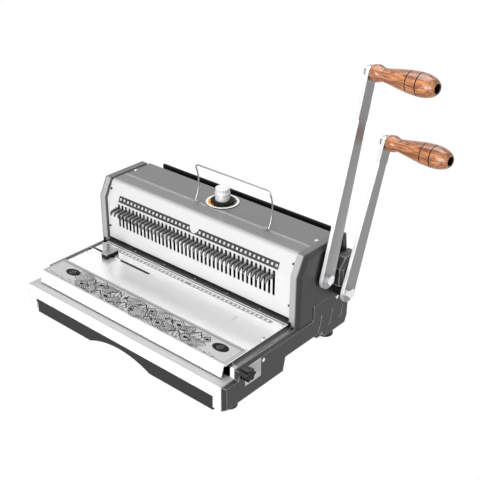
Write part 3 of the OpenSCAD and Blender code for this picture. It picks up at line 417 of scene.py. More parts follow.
def scaled(tree, value, middle, gain):
    """A value counted from its middle and multiplied."""
    return maths(tree, "MULTIPLY", maths(tree, "SUBTRACT", value, middle), gain)


def along(tree, vector, direction):
    """How far a vector reaches along a direction."""
    return vector_maths(tree, "DOT_PRODUCT", vector, direction).outputs["Value"]


def facing(tree, direction):
    """How squarely a face looks along a direction, from -1 to 1."""
    return along(tree, tree.nodes.new("ShaderNodeNewGeometry").outputs["True Normal"], direction)


def mix_colour(tree, factor, a, b):
    """Mixes two colours; each may be a socket or a plain colour."""
    node = tree.nodes.new("ShaderNodeMix")
    node.data_type = "RGBA"
    feed(tree, node.inputs["Factor"], factor)
    for socket, value in ((node.inputs[6], a), (node.inputs[7], b)):
        feed(tree, socket, (*value, 1.0) if isinstance(value, tuple) else value)
    return node.outputs[2]


def noise(tree, vector, scale, detail, distortion=0.0):
    """A noise texture's value from 0 to 1."""
    node = tree.nodes.new("ShaderNodeTexNoise")
    tree.links.new(vector, node.inputs["Vector"])
    feed(tree, node.inputs["Scale"], scale)
    node.inputs["Detail"].default_value = detail
    node.inputs["Distortion"].default_value = distortion
    return node.outputs["Fac"]


def position(tree):
    """The place of the point that is shaded, in metres."""
    return tree.nodes.new("ShaderNodeTexCoord").outputs["Object"]


def repaint(material, mask, colour):
    """Lays a colour over a material's own colour, as far as a mask goes."""
    tree = material.node_tree
    base = tree.nodes["Principled BSDF"].inputs["Base Color"]
    own = base.links[0].from_socket
    tree.links.new(mix_colour(tree, mask, own, colour), base)
    return material


# Node groups, each built once


def make_edge_group():
    """Rounds edges to the eye: a softened normal, and a mask of the edge itself, where painted highlights
    go.
    """
    tree, source, sink = group(
        "soft_edges",
        [("Normal", "NodeSocketVector"), ("Mask", "NodeSocketFloat")],
        [("Radius", "NodeSocketFloat", 0.5 * MM)],
    )
    bevel = tree.nodes.new("ShaderNodeBevel")
    bevel.samples = 4
    tree.links.new(source.outputs["Radius"], bevel.inputs["Radius"])
    away = maths(tree, "SUBTRACT", 1.0, facing(tree, bevel.outputs["Normal"]))
    sharpness = 10.0
    mask = maths(tree, "MINIMUM", maths(tree, "MULTIPLY", away, sharpness), 1.0)
    tree.links.new(bevel.outputs["Normal"], sink.inputs["Normal"])
    tree.links.new(mask, sink.inputs["Mask"])


def make_grain_group():
    """Fine grain: an even noise, stretched along chosen directions."""
    tree, source, sink = group(
        "fine_grain",
        [("Value", "NodeSocketFloat")],
        [("Stretch", "NodeSocketVector", (1.0, 1.0, 1.0)), ("Scale", "NodeSocketFloat", 900.0)],
    )
    stretched = vector_maths(tree, "MULTIPLY", position(tree), source.outputs["Stretch"])
    grain = noise(tree, stretched.outputs[0], scale=source.outputs["Scale"], detail=3.0)
    tree.links.new(grain, sink.inputs["Value"])


def make_dust_group():
    """Dust mask: patchy, and only on faces that look up."""
    tree, source, sink = group(
        "fine_dust",
        [("Mask", "NodeSocketFloat")],
        [("Amount", "NodeSocketFloat", 0.1)],
    )
    normal = tree.nodes.new("ShaderNodeNewGeometry").outputs["Normal"]
    upward = maths(tree, "MAXIMUM", along(tree, normal, UPWARD), 0.0)
    patches = noise(tree, position(tree), scale=26.0, detail=5.0)
    patchy = maths(tree, "MULTIPLY", patches, source.outputs["Amount"])
    tree.links.new(maths(tree, "MULTIPLY", patchy, upward), sink.inputs["Mask"])


def make_axis_group(joint):
    """Coordinates about a joint's axis: how far along it, how far from it, and a stretched position."""
    place = next(j for j in frame["joints"] if j["name"] == joint)
    tree, source, sink = group(
        f"about_{joint}",
        [("Along", "NodeSocketFloat"), ("Radius", "NodeSocketFloat"), ("Stretched", "NodeSocketVector")],
        [("Squeeze", "NodeSocketFloat", 0.9)],
    )
    axis = Vector(place["axis"]).normalized()
    offset = vector_maths(tree, "SUBTRACT", position(tree), place["pos_m"]).outputs[0]
    reach = along(tree, offset, axis)
    lengthwise = vector_maths(tree, "SCALE", axis)
    tree.links.new(reach, lengthwise.inputs["Scale"])
    across = vector_maths(tree, "SUBTRACT", offset, lengthwise.outputs[0])
    squeezed = vector_maths(tree, "SCALE", axis)
    tree.links.new(maths(tree, "MULTIPLY", reach, source.outputs["Squeeze"]), squeezed.inputs["Scale"])
    stretched = vector_maths(tree, "SUBTRACT", offset, squeezed.outputs[0])
    radius = vector_maths(tree, "LENGTH", across.outputs[0]).outputs["Value"]
    tree.links.new(reach, sink.inputs["Along"])
    tree.links.new(radius, sink.inputs["Radius"])
    tree.links.new(stretched.outputs[0], sink.inputs["Stretched"])


# Materials


def grey(value, blue=None):
    """A grey, with its blue given apart where it has a cool cast."""
    return (value, value, blue or value)


def surface(name, colour, metallic=0.0, roughness=0.42, grain=0.1, scale=1500.0, stretch=(1.0, 1.0, 1.0),
            tint=0.06, vary=0.25, highlit=None, edge=None, front=None, soft=True, dusty=True, coat=0.0,
            gloss=0.5):
    """
    A material with fine grain in its colour, roughness and height.

    The edge colour paints highlights on its rounded edges, and front paints light on its narrow faces to
    the front and rear. soft rounds its edges to the eye, dusty lays dust on it, and gloss is how much it
    mirrors.
    """
    finish = bpy.context.scene.binder.finish
    material = bpy.data.materials.new(name)
    material.use_nodes = True
    tree = material.node_tree
    shader = tree.nodes["Principled BSDF"]
    shader.inputs["Metallic"].default_value = metallic
    shader.inputs["Specular IOR Level"].default_value = gloss
    shader.inputs["Coat Weight"].default_value = coat
    shader.inputs["Coat Roughness"].default_value = 0.12
    field = use_group(tree, "fine_grain", Stretch=stretch, Scale=scale).outputs["Value"]
    darker = tuple(c * (1 - tint) for c in colour)
    lighter = tuple(min(1.0, c * (1 + tint)) for c in colour)
    base = mix_colour(tree, field, darker, lighter)
    bump = tree.nodes.new("ShaderNodeBump")
    if soft:
        edges = use_group(tree, "soft_edges", Radius=edge or finish.edge)
        tree.links.new(edges.outputs["Normal"], bump.inputs["Normal"])
        if highlit:
            # Rounded edges get a painted highlight in the edge colour
            mask = maths(tree, "MULTIPLY", edges.outputs["Mask"], finish.wear)
            base = mix_colour(tree, mask, base, highlit)
    if dusty:
        dust = use_group(tree, "fine_dust", Amount=finish.dust)
        base = mix_colour(tree, dust.outputs["Mask"], base, DUST_COLOUR)
    tree.links.new(base, shader.inputs["Base Color"])
    if front:
        # Faces to the front and rear get painted light in the front colour
        squarely = maths(tree, "ABSOLUTE", facing(tree, ALONG_Y))
        repaint(material, maths(tree, "GREATER_THAN", squarely, FRONT_LIMIT), front)
    rough = maths(tree, "ADD", scaled(tree, field, middle=0.5, gain=vary), roughness)
    tree.links.new(rough, shader.inputs["Roughness"])
    bump.inputs["Strength"].default_value = grain
    bump.inputs["Distance"].default_value = 0.1 * MM
    tree.links.new(field, bump.inputs["Height"])
    tree.links.new(bump.outputs["Normal"], shader.inputs["Normal"])
    return material


def make_silver(name, front, level_shade):
    """Metal-effect silver paint, with painted shade that makes its upward faces darker than its upright
    ones.
    """
    cast = 1.01
    material = surface(name, grey(front, cast * front), roughness=0.4, grain=0.05, scale=2600.0, tint=0.03)
    tree = material.node_tree
    # Faces that look up get painted shade in the level colour
    rise = maths(tree, "MAXIMUM", facing(tree, UPWARD), 0.0)
    return repaint(material, maths(tree, "POWER", rise, 3.0), grey(level_shade, cast * level_shade))


def make_slotted_coat(name):
    """The front cover's silver paint, with painted shade on the walls of its slots."""
    material = make_silver(name, 0.66, 0.2)
    tree = material.node_tree
    squarely = maths(tree, "ABSOLUTE", facing(tree, ALONG_X))
    # The sideways slot walls get painted shade
    return repaint(material, maths(tree, "GREATER_THAN", squarely, SLOT_LIMIT), grey(0.012))


def make_deck_metal(name):
    """Polished sheet, with painted shade on the ledge where its right edge is bent down and out."""
    drop, front_limit = 0.5 * MM, 0.3
    material = surface(name, grey(0.98, 0.982), metallic=0.7, roughness=0.26, grain=0.0, scale=900.0,
                       stretch=BRUSHED, tint=0.01, vary=0.02, dusty=False, coat=0.5)
    tree = material.node_tree
    height = along(tree, position(tree), UPWARD)
    below = maths(tree, "LESS_THAN", height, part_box("deck")[1].z - drop)
    squarely = maths(tree, "ABSOLUTE", facing(tree, ALONG_Y))
    sideways = maths(tree, "LESS_THAN", squarely, front_limit)
    # The bent-down ledge gets painted shade
    return repaint(material, maths(tree, "MULTIPLY", below, sideways), grey(0.2, 0.203))


def make_speckle(name):
    """Pale plate with a fine printed speckle."""
    material = surface(name, grey(0.74), metallic=0.1, roughness=0.5, tint=0.0, dusty=False)
    tree = material.node_tree
    field = use_group(tree, "fine_grain", Scale=1300.0).outputs["Value"]
    density, strength = 0.43, 0.55
    dots = maths(tree, "LESS_THAN", field, density)
    return repaint(material, maths(tree, "MULTIPLY", dots, strength), grey(0.4))


def make_wood(name, joint):
    """Varnished reddish wood along a grip's axis, with painted shade at its grazing edges, in its grooves
    and in its bore.
    """
    grip = bpy.context.scene.binder.grip
    colours = bpy.context.scene.binder.colours
    dark, light = tuple(colours.wood_dark), tuple(colours.wood_light)
    material = surface(name, dark, roughness=0.3, grain=0.2, scale=1400.0, dusty=False, coat=0.35)
    tree = material.node_tree
    about = use_group(tree, f"about_{joint}")
    fine = noise(tree, about.outputs["Stretched"], scale=420.0, detail=4.0, distortion=0.6)
    broad = noise(tree, about.outputs["Stretched"], scale=110.0, detail=2.0)
    fine = scaled(tree, fine, middle=0.4, gain=4.5)
    broad = scaled(tree, broad, middle=0.5, gain=1.6)
    share = maths(tree, "MAXIMUM", maths(tree, "ADD", fine, broad), 0.0)
    colour = mix_colour(tree, maths(tree, "MINIMUM", share, 1.0), dark, light)
    # Grazing edges get painted shade that makes the grip look round
    rim = tree.nodes.new("ShaderNodeLayerWeight")
    rim.inputs["Blend"].default_value = 0.22
    shade = maths(tree, "MULTIPLY", rim.outputs["Facing"], 0.75)
    colour = mix_colour(tree, shade, colour, WOOD_RIM_SHADE)
    tree.links.new(colour, tree.nodes["Principled BSDF"].inputs["Base Color"])
    # The bore and the grooves get painted shade
    shadowed = maths(tree, "LESS_THAN", about.outputs["Radius"], grip.hole_radius)
    for place in grip.grooves:
        off = maths(tree, "SUBTRACT", about.outputs["Along"], grip.start + place * grip.length)
        near = maths(tree, "LESS_THAN", maths(tree, "ABSOLUTE", off), grip.groove / 2)
        shadowed = maths(tree, "MAXIMUM", shadowed, near)
    return repaint(material, shadowed, PAINTED_SHADE_COLOUR)


def make_stud(name, joint):
    """Bright plating behind the grip, with painted shade where the stud ends inside the grip."""
    grip = bpy.context.scene.binder.grip
    material = surface(name, grey(0.45, 0.457), metallic=0.85, roughness=0.25, grain=0.03, scale=1200.0,
                       tint=0.03)
    tree = material.node_tree
    about = use_group(tree, f"about_{joint}")
    # The end inside the grip's bore gets painted shade
    inside = maths(tree, "GREATER_THAN", about.outputs["Along"], grip.start + grip.length / 2)
    return repaint(material, inside, grey(0.008))


# Finishes


def plain_finishes(colours):
    """What surface() gets for each plain finish."""
    return {
        # Here the edge colours are painted highlights, and the front colours are painted light on faces to
        # the front and rear
        "charcoal": dict(colour=colours.covers, grain=0.35, tint=0.12, highlit=grey(0.6, 0.61), edge=2 * MM),
        "end_charcoal": dict(colour=colours.covers, metallic=0.05, grain=0.35, tint=0.12,
                             front=grey(0.14, 0.142)),
        "frame_grey": dict(colour=grey(0.33, 0.335), metallic=0.2, grain=0.15, scale=1700.0),
        # The end frames are dark grey with painted light on their faces to the front and rear
        "frame_lit_front": dict(colour=grey(0.1, 0.102), metallic=0.05, grain=0.35, tint=0.3,
                               front=grey(0.38, 0.385)),
        "black_metal": dict(colour=grey(0.01, 0.011), roughness=0.45, grain=0.2, scale=1700.0,
                            highlit=grey(0.08)),
        "deep_black": dict(colour=grey(0.004), roughness=0.6, scale=1700.0, dusty=False, gloss=0.15),
        "steel": dict(colour=grey(0.5, 0.51), metallic=0.95, roughness=0.34, grain=0.15, stretch=BRUSHED,
                      tint=0.1),
        "dark_steel": dict(colour=grey(0.23, 0.24), metallic=0.9, roughness=0.36, grain=0.15, tint=0.15),
        "hook_steel": dict(colour=grey(0.13, 0.132), metallic=0.5, roughness=0.3, grain=0.05, tint=0.15,
                           highlit=grey(0.85, 0.86)),
        "nickel": dict(colour=grey(0.3, 0.307), metallic=0.6, roughness=0.36, front=grey(0.8, 0.81)),
        "bright": dict(colour=grey(0.82, 0.83), metallic=0.9, roughness=0.2, grain=0.03, scale=1200.0,
                       tint=0.03),
        "knob_silver": dict(colour=grey(0.84, 0.85), metallic=0.5, roughness=0.32, grain=0.02,
                            scale=1200.0, tint=0.02),
        "wire": dict(colour=(0.36, 0.35, 0.33), metallic=0.85, roughness=0.25, grain=0.0, scale=900.0,
                     tint=0.03, soft=False, dusty=False),
        "bronze": dict(colour=(0.52, 0.36, 0.17), metallic=0.9, roughness=0.4, grain=0.2, scale=1800.0),
        "rubber": dict(colour=grey(0.014), roughness=0.62, grain=0.4, scale=1600.0, tint=0.2),
        "black_plastic": dict(colour=grey(0.006), roughness=0.22, scale=1900.0, tint=0.15,
                              highlit=grey(0.1), edge=0.4 * MM, gloss=0.15),
        "drawer_plastic": dict(colour=grey(0.016), roughness=0.55, grain=0.4, tint=0.12, gloss=0.25),
        "print_plate": dict(colour=grey(0.5, 0.503), metallic=0.3, roughness=0.36, grain=0.12,
                            scale=1800.0, tint=0.05),
        "dial_black": dict(colour=grey(0.008), roughness=0.3, grain=0.03, soft=False, gloss=0.2),
    }


def inks(colours):
    """The values of the printed films."""
    return {
        "ink": dict(colour=grey(0.008), roughness=0.6, gloss=0.1),
        "grey_ink": dict(colour=grey(0.2, 0.202), metallic=0.3),
        "pale_ink": dict(colour=grey(0.32, 0.323), metallic=0.3, roughness=0.4),
        "white_ink": dict(colour=grey(0.85), roughness=0.45),
        "orange_ink": dict(colour=colours.arc),
        "cream_ink": dict(colour=(0.92, 0.9, 0.84), roughness=0.45, grain=0.05),
    }


def make_materials():
    """All finishes by name. Blender numbers a new one where the frame has a material of that name."""
    colours = bpy.context.scene.binder.colours
    make_edge_group()
    make_grain_group()
    make_dust_group()
    materials = {name: surface(name, **values) for name, values in plain_finishes(colours).items()}
    for name, values in inks(colours).items():
        materials[name] = surface(name, scale=2000.0, soft=False, dusty=False, **values)
    for lever in ("punch", "closing"):
        joint = f"{lever}_grip_turn"
        make_axis_group(joint)
        materials[f"wood_{lever}"] = make_wood(f"wood_{lever}", joint)
        materials[f"stud_{lever}"] = make_stud(f"stud_{lever}", joint)
    # The second tone of each coat is painted shade for its faces that look up
    materials["silver_coat"] = make_silver("silver_coat", 0.88, 0.46)
    materials["top_coat"] = make_silver("top_coat", 0.86, 0.16)
    materials["slotted_coat"] = make_slotted_coat("slotted_coat")
    materials["polished"] = make_deck_metal("polished")
    materials["scale_plate"] = make_speckle("scale_plate")
    return materials


NODE_FINISH = {
    "silver_coat": ["fascia"],
    "top_coat": ["top_cover"],
    "slotted_coat": ["front_cover"],
    "polished": ["deck"],
    "charcoal": ["side_cover_left", "side_cover_right", "lever_housing"],
    "end_charcoal": ["end_cover_left", "end_cover_right"],
    "frame_lit_front": ["end_frame_left", "end_frame_right"],
    "frame_grey": ["base_pan", "bail_clips"],
    # The die plate's black is partly its own oxide and partly painted shade in the throat
    "black_metal": ["hole_strip", "rear_guard", "rear_panel", "die_plate", "panel_screws"],
    # The shaft collars are deep black as painted shade
    "deep_black": ["ram_bar", "closing_bar", "punch_collar", "closing_collar", "knob_skirt"],
    "steel": ["margin_shaft", "depth_slide", "pin_guide", "punch_pins", "ram_guides", "punch_shaft",
              "closing_shaft", "closing_guides", "size_spindle", "side_guide"],
    "hook_steel": ["hook_comb"],
    "dark_steel": ["punch_cams", "closing_cams", "closing_brackets", "anvil_plate"],
    "nickel": ["punch_lever", "closing_lever"],
    "knob_silver": ["size_knob"],
    "bright": ["cover_screws", "punch_bolt", "closing_bolt"],
    "stud_punch": ["punch_stud"],
    "stud_closing": ["closing_stud"],
    "wire": ["wire_bail"],
    "bronze": ["shaft_bushes"],
    "rubber": ["feet"],
    "black_plastic": ["guide_slider", "margin_knob"],
    "drawer_plastic": ["chip_drawer"],
    "print_plate": ["label_plate"],
    "scale_plate": ["knob_plate"],
    "dial_black": ["dial_plate"],
    "wood_punch": ["punch_grip"],
    "wood_closing": ["closing_grip"],
}


class BINDER_OT_finishes(Operator):
    """Give every carried-over piece its material"""

    bl_idname = "binder.finishes"
    bl_label = "Finishes"

    def execute(self, context):
        materials = make_materials()
        for name, nodes in NODE_FINISH.items():
            for node in nodes:
                mesh = frame["nodes"][node].data
                mesh.materials.clear()
                mesh.materials.append(materials[name])
        left = set(frame["nodes"]) - {n for nodes in NODE_FINISH.values() for n in nodes}
        if left:
            raise RuntimeError(f"no finish for {sorted(left)}")
        return {"FINISHED"}


# Pieces


def middle(node):
    low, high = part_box(node)
    return (low + high) / 2


class BINDER_OT_size_knob(Operator):
    """Build the ridged size knob"""

    bl_idname = "binder.size_knob"
    bl_label = "Size knob"

    def execute(self, context):
        knob = context.scene.binder.knob
        low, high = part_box("size_knob")
        centre = middle("size_knob")
        radius = (high.x - low.x) / 2
        edge = knob.edge
        cap = high.z - knob.cap_height
        dish, dish_floor = 0.5 * radius, 0.45 * radius

        def ridged(r, a):
            return r - knob.ridge_depth * (0.5 - 0.5 * cos(knob.ridges * a))

        # Each row's radius, its height and whether it has ridges
        profile = [
            (radius - edge, low.z, False),
            (radius, low.z + edge, False),
            (radius, cap - edge, False),
            (radius - 2 * edge, cap, False),
            (radius - edge, cap + edge, True),
            (radius - edge, high.z - 2 * edge, True),
            (radius - 2 * edge, high.z - 0.6 * edge, True),
            (radius - 3.5 * edge, high.z, False),
            (dish, high.z, False),
            (dish_floor, high.z - edge, False),
        ]
        bm = bmesh.new()
        lathe(bm, profile, (centre.x, centre.y), ridged, steps=8 * knob.ridges)
        obj = new_object("size_knob_ridged", bm, "knob_silver", "size_control")
        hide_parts("size_knob")
        return {"FINISHED"}


class BINDER_OT_wire_bail(Operator):
    """Build the bent wire bail as one smooth wire"""

    bl_idname = "binder.wire_bail"
    bl_label = "Wire bail"

    def execute(self, context):
        bail = context.scene.binder.bail
        low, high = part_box("wire_bail")
        feet_y = middle("bail_clips").y
        centre = Vector(((low.x + high.x) / 2, feet_y, low.z + bail.radius))
        half = (high.x - low.x) / 2 - bail.radius
        rise = (high.z - low.z - 2 * bail.radius) / cos(bail.lean)
        leg = rise - bail.corner
        bow_radius = (leg * leg / 4 + bail.bow * bail.bow) / (2 * bail.bow)
        spread = asin(leg / 2 / bow_radius)
        leg_steps, corner_steps = 24, 8
        side = [Vector((half - bail.foot, 0.0, 0.0)), Vector((half, 0.0, 0.0))]
        for i in range(1, leg_steps + 1):
            a = -spread + 2 * spread * i / leg_steps
            bowed = bail.bow - bow_radius + bow_radius * cos(a)
            side.append(Vector((half, bowed, leg / 2 + bow_radius * sin(a))))
        inner = half - bail.corner
        for i in range(1, corner_steps + 1):
            a = pi / 2 * i / corner_steps
            side.append(Vector((inner + bail.corner * cos(a), 0.0, leg + bail.corner * sin(a))))
        path = [Vector((-p.x, p.y, p.z)) for p in side] + side[::-1]
        tilt = Matrix.Rotation(-bail.lean, 4, "X")
        bm = bmesh.new()
        sweep(bm, [centre + tilt @ p for p in path], bail.radius)
        obj = new_object("wire_bail_smooth", bm, "wire", "bail")
        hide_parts("wire_bail")
        return {"FINISHED"}


# Thickness of the dial's print
DIAL_FILM = 0.15 * MM


def dial_print(name, bm, material):
    """One printed piece of the dial."""
    obj = new_object(name, bm, material, "base")


def dial_figure(number, dial, spot, turn):
    """One upright number of the dial, turned from type into a mesh."""
    curve = bpy.data.curves.new(f"dial_number_{number}", "FONT")
    curve.body = str(number)
    curve.size = dial.figure
    curve.extrude = DIAL_FILM
    curve.align_x = "CENTER"
    curve.align_y = "CENTER"
    curve.materials.append(bpy.data.materials["white_ink"])
    typed = bpy.data.objects.new(curve.name, curve)
    bpy.context.scene.collection.objects.link(typed)
    typed.location = spot
    typed.rotation_euler = (0, 0, turn)
    bpy.context.view_layer.update()
    mesh = bpy.data.meshes.new_from_object(typed)
    obj = bpy.data.objects.new(f"dial_figure_{number}", mesh)
    obj.matrix_world = typed.matrix_world.copy()
    bpy.data.objects.remove(typed)
    bpy.context.scene.collection.objects.link(obj)
    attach(obj, "base")


class BINDER_OT_dial(Operator):
    """Build the dial's rim, coloured arc, marks and plain numbers"""

    bl_idname = "binder.dial"
    bl_label = "Dial"

    def execute(self, context):
        dial = context.scene.binder.dial
        low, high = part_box("dial_plate")
        centre = middle("dial_plate")
        spot = (centre.x, centre.y)
        edge = (high.x - low.x) / 2
        rim = edge - dial.rim
        top = high.z
        film = top + DIAL_FILM
        bm = bmesh.new()
        ring(bm, rim, edge, top, film, spot)
        dial_print("dial_rim", bm, "cream_ink")
        bm = bmesh.new()
        ring(bm, rim - dial.arc, rim, top, film, spot, dial.start, dial.arc_turn, 30)
        dial_print("dial_arc", bm, "orange_ink")
        bm = bmesh.new()
        between = 4
        marks = between * dial.numbers
        gap, long_mark, short_mark, half = 0.3 * MM, 2.2 * MM, 1.2 * MM, 0.15 * MM
        for i in range(marks):
            a = dial.start + dial.turn * i / marks
            place = Matrix.Translation((*spot, 0)) @ Matrix.Rotation(a, 4, "Z")
            inner = edge - (short_mark if i % between else long_mark)
            prism(bm, rectangle(inner, edge - gap, -half, half), top, film + DIAL_FILM, place)
        dial_print("dial_marks", bm, "ink")
        figure_in = 5 * MM
        reach = edge - figure_in
        for i in range(dial.numbers):
            a = dial.start + dial.turn * i / dial.numbers
            dial_figure(i + 1, dial, (spot[0] + reach * cos(a), spot[1] + reach * sin(a), film), a + pi / 2)
        return {"FINISHED"}


def print_on(node, material, outlines, lift, name):
    """Lays flat printed outlines on the top face of a piece."""
    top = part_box(node)[1].z
    bm = bmesh.new()
    for outline in outlines:
        prism(bm, outline, top, top + lift)
    obj = new_object(name, bm, material, "base")


class BINDER_OT_deck_print(Operator):
    """Lay painted highlights as the rear lines, and print the row of squares and the paper mark on the deck
    """

    bl_idname = "binder.deck_print"
    bl_label = "Deck print"

    def execute(self, context):
        settings = context.scene.binder.print
        deck = context.scene.binder.deck
        low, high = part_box("deck")
        axis = middle("fascia").x
        lift = settings.lift
        left_gap, right_reach, rear_gap = 5 * MM, 196 * MM, 0.3 * MM
        x0, x1 = low.x + left_gap, axis + right_reach
        rear = high.y - rear_gap
        channel_rear = rear - deck.rear_line
        channel_front = channel_rear - deck.channel
        # The two white lines are painted highlights on the edges of the deck's rear strip
        lines = [
            rectangle(x0, x1, channel_rear, rear),
            rectangle(x0, x1, channel_front - deck.front_line, channel_front),
        ]
        print_on("deck", "white_ink", lines, lift, "deck_lines")
        channel = rectangle(x0, x1, channel_front, channel_rear)
        print_on("deck", "grey_ink", [channel], lift, "deck_channel")
        row_in, band_over, band_margin = 11 * MM, 0.9, 1.3 * MM
        row_x = axis + deck.row_x
        row_y = rear - row_in
        half = deck.square / 2
        reach = (deck.squares / 2 + band_over) * settings.pitch
        depth = half + band_margin
        band = rectangle(row_x - reach, row_x + reach, row_y - depth, row_y + depth)
        print_on("deck", "pale_ink", [band], lift, "deck_band")
        squares = []
        for i in range(deck.squares + 1):
            x = row_x + (i - deck.squares / 2) * settings.pitch
            # The place in the middle stays free
            if i != deck.squares // 2:
                squares.append(rectangle(x - half, x + half, row_y - half, row_y + half))
        print_on("deck", "white_ink", squares, 2 * lift, "deck_squares")
        mark_x = axis + deck.mark_x
        mark_rear, mark_length, mark_width = high.y - 31 * MM, 16 * MM, 0.54 * MM
        mark = rectangle(mark_x, mark_x + mark_width, mark_rear - mark_length, mark_rear)
        print_on("deck", "ink", [mark], lift, "deck_mark")
        return {"FINISHED"}


class BINDER_OT_cover_joint(Operator):
    """Lay two painted highlights on the edges along the joint of the front and the top cover"""

    bl_idname = "binder.cover_joint"
    bl_label = "Cover joint"

    def execute(self, context):
        settings = context.scene.binder.print
        low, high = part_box("top_cover")
        width = settings.joint_line
        rows = [low.y, low.y + settings.joint_step]
        # The two bright lines are painted highlights on the joint's edges
        edges = [rectangle(low.x + width, high.x - width, y, y + width) for y in rows]
        print_on("top_cover", "white_ink", edges, settings.lift, "cover_joint_edges")
        return {"FINISHED"}


class BINDER_OT_die_screws(Operator):
    """Set low screw heads along the front of the die plate"""

    bl_idname = "binder.die_screws"
    bl_label = "Die plate screws"

    def execute(self, context):
        # One screw at every eighth pitch
        step = 8 * context.scene.binder.print.pitch
        radius, crown, height = 2.2 * MM, 0.85, 0.25 * MM
        middle_x, inset = 4.5 * MM, 7 * MM
        low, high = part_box("die_plate")
        x = middle("fascia").x + middle_x
        y = low.y + inset
        for i in range(-2, 3):
            bm = bmesh.new()
            head = [(radius, high.z, False), (crown * radius, high.z + height, False)]
            lathe(bm, head, (x + i * step, y), steps=24)
            # This is the frame's own plain material
            obj = new_object(f"die_screw_{i + 3}", bm, "bright", "base")
        return {"FINISHED"}


def label_figures(count, line, low, span, depth):
    """Line figures in two close rows."""
    shapes = []
    motifs = (rings_motif, sheet_motif, zigzag_motif)
    first, spread, offset, size_share, variety = 0.18, 0.67, 0.2, 0.26, 0.04
    for i in range(count):
        x = low.x + (first + spread * i / (count - 1)) * span
        y = low.y + (0.5 + offset * (-1) ** i) * depth
        size = (size_share + variety * cos(1.7 * i)) * depth
        shapes += motifs[i % len(motifs)](x, y, size, line, 0.9 * i)
    return shapes


def label_dashes(count, line, low, span):
    """Small uneven dashes along the front edge."""
    shapes = []
    first, spread = 0.03, 0.9
    for i in range(count):
        x = low.x + (first + spread * i / (count - 1)) * span
        y = low.y + (5 + 2 * sin(2.9 * i)) * MM
        length = (3 + 3 * cos(1.3 * i) ** 2) * MM
        slant = 1.5 * MM * cos(i)
        shapes.append(stroke([(x, y), (x + length, y + slant)], line))
    return shapes


def label_bars(x, y):
    """Pale bars across a dark oval, the middle one longest."""
    step, width = 2.4 * MM, 0.36 * MM
    shapes = []
    for k in range(-2, 3):
        reach = (7 - 1.2 * abs(k)) * MM
        front = y + step * k
        shapes.append(rectangle(x - reach, x + (0.6 + 0.1 * k) * reach, front, front + width))
    return shapes


class BINDER_OT_label_print(Operator):
    """Print a dense plain pattern of line figures on the front plate"""

    bl_idname = "binder.label_print"
    bl_label = "Front plate print"

    def execute(self, context):
        settings = context.scene.binder.print
        label = context.scene.binder.label
        low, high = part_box("label_plate")
        lift = settings.lift
        span = high.x - low.x
        strip = high.y - label.strip
        rim, oval_back = 1 * MM, 3.5 * MM
        inset, front, frame_line = 2.5 * MM, 2 * MM, 0.54 * MM
        strip_shape = rectangle(low.x + rim, high.x - rim, strip, high.y - rim)
        print_on("label_plate", "pale_ink", [strip_shape], lift, "label_strip")
        shapes = box_lines(low.x + inset, high.x - inset, low.y + front, strip, frame_line)
        oval_y = middle("label_plate").y + oval_back
        ovals = [low.x + share * span for share in label.ovals]
        shapes += [ellipse(x, oval_y, label.oval_width, label.oval_depth) for x in ovals]
        shapes += label_figures(label.figures, settings.line, low, span, strip - low.y)
        shapes += label_dashes(label.dashes, settings.line, low, span)
        print_on("label_plate", "ink", shapes, lift, "label_print")
        bars = [bar for x in ovals for bar in label_bars(x, oval_y)]
        print_on("label_plate", "pale_ink", bars, 2 * lift, "label_highlights")
        return {"FINISHED"}


# Stage


class BINDER_OT_stage(Operator):
    """Set up the floor, the soft light and the camera"""

    bl_idname = "binder.stage"
    bl_label = "Stage"

    def execute(self, context):
        scene = context.scene
        stage = scene.binder.stage
        make_floor(stage)
        make_world(scene, stage)
        make_light(scene, "top_light", stage.top_place, stage.top_target, stage.light_size, stage.top_power)
        make_light(scene, "key_light", stage.key_place, stage.key_target, stage.light_size, stage.key_power)
        make_camera(scene, scene.binder.camera)
        scene.view_settings.view_transform = "Standard"
        return {"FINISHED"}


def make_floor(stage):
    """A matt floor that looks plain white to the camera and in reflections."""
    bm = bmesh.new()
    half = stage.floor_half
    bm.faces.new([bm.verts.new((x, y, 0)) for x, y in rectangle(-half, half, -half, half)])
    material = bpy.data.materials.new("floor")
    material.use_nodes = True
    tree = material.node_tree
    shader = tree.nodes["Principled BSDF"]
    shader.inputs["Base Color"].default_value = (0.88, 0.88, 0.88, 1)
    shader.inputs["Roughness"].default_value = 0.9
    shader.inputs["Specular IOR Level"].default_value = 0.1
    glow = tree.nodes.new("ShaderNodeEmission")
    glow.inputs["Strength"].default_value = 1.0
    path = tree.nodes.new("ShaderNodeLightPath")
    mix = tree.nodes.new("ShaderNodeMixShader")
    seen = maths(tree, "MAXIMUM", path.outputs["Is Camera Ray"], path.outputs["Is Glossy Ray"])
    tree.links.new(maths(tree, "MULTIPLY", seen, stage.floor_white), mix.inputs[0])
    tree.links.new(shader.outputs[0], mix.inputs[1])
    tree.links.new(glow.outputs[0], mix.inputs[2])
    tree.links.new(mix.outputs[0], tree.nodes["Material Output"].inputs["Surface"])
    floor = new_object("floor", bm, material.name, None)


def make_world(scene, stage):
    """A white room that is bright to the camera and in reflections, and gives little light."""
    world = bpy.data.worlds.new("studio")
    scene.world = world
    world.use_nodes = True
    tree = world.node_tree
    shader = tree.nodes["Background"]
    path = tree.nodes.new("ShaderNodeLightPath")
    seen = maths(tree, "MULTIPLY", path.outputs["Is Camera Ray"], 1.0 - stage.ambient)
    mirrored = maths(tree, "MULTIPLY", path.outputs["Is Glossy Ray"], stage.mirrored - stage.ambient)
    strength = maths(tree, "ADD", maths(tree, "ADD", seen, mirrored), stage.ambient)
    tree.links.new(strength, shader.inputs["Strength"])
    shader.inputs["Color"].default_value = (1, 1, 1, 1)


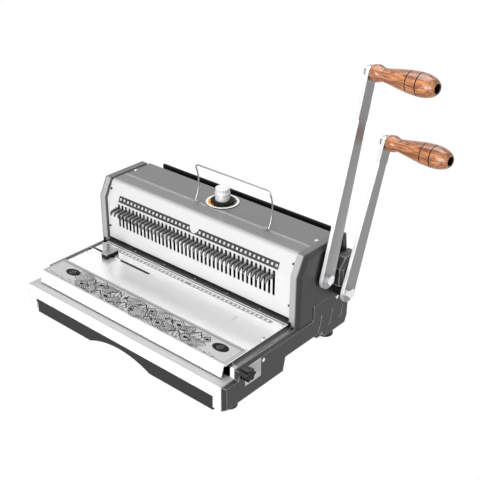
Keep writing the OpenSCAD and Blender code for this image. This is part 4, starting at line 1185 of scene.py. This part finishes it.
def make_light(scene, name, location, target, size, power):
    data = bpy.data.lights.new(name, "AREA")
    data.size = size
    data.energy = power
    light = bpy.data.objects.new(name, data)
    scene.collection.objects.link(light)
    light.location = location
    light.rotation_euler = (Vector(target) - Vector(location)).to_track_quat("-Z", "Y").to_euler()


def make_camera(scene, settings):
    az, el, roll = settings.azimuth, settings.elevation, settings.roll
    forward = Vector((-sin(az) * cos(el), cos(az) * cos(el), -sin(el)))
    right = Vector((cos(az), sin(az), 0))
    up = right.cross(forward)
    turned_right = right * cos(roll) + up * sin(roll)
    turned_up = up * cos(roll) - right * sin(roll)
    data = bpy.data.cameras.new("camera")
    data.lens = settings.lens
    data.sensor_width = settings.sensor
    data.clip_end = 100.0
    camera = bpy.data.objects.new("camera", data)
    scene.collection.objects.link(camera)
    axes = Matrix((turned_right, turned_up, -forward)).transposed()
    camera.matrix_world = Matrix.Translation(settings.location) @ axes.to_4x4()
    scene.camera = camera


class BINDER_PT_panel(Panel):
    """Steps that build the machine's looks"""

    bl_idname = "BINDER_PT_panel"
    bl_label = "Wire binding machine"
    bl_space_type = "VIEW_3D"
    bl_region_type = "UI"
    bl_category = "Binder"

    def draw(self, context):
        for operator in OPERATORS:
            self.layout.operator(operator.bl_idname)


GROUPS = (
    BinderCamera, BinderStage, BinderColours, BinderFinish, BinderPrint, BinderDeckPrint,
    BinderLabel, BinderKnob, BinderDial, BinderBail, BinderGrip, BinderSettings,
)
OPERATORS = (
    BINDER_OT_finishes, BINDER_OT_size_knob, BINDER_OT_wire_bail, BINDER_OT_dial, BINDER_OT_deck_print,
    BINDER_OT_cover_joint, BINDER_OT_die_screws, BINDER_OT_label_print, BINDER_OT_stage,
)
CLASSES = (*GROUPS, *OPERATORS, BINDER_PT_panel)


def register():
    for cls in CLASSES:
        bpy.utils.register_class(cls)
    bpy.types.Scene.binder = PointerProperty(type=BinderSettings)


def unregister():
    del bpy.types.Scene.binder
    for cls in reversed(CLASSES):
        bpy.utils.unregister_class(cls)


def main():
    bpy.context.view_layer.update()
    register()
    for operator in OPERATORS:
        getattr(bpy.ops.binder, operator.bl_idname.split(".")[1])()


if __name__ == "__main__":
    main()
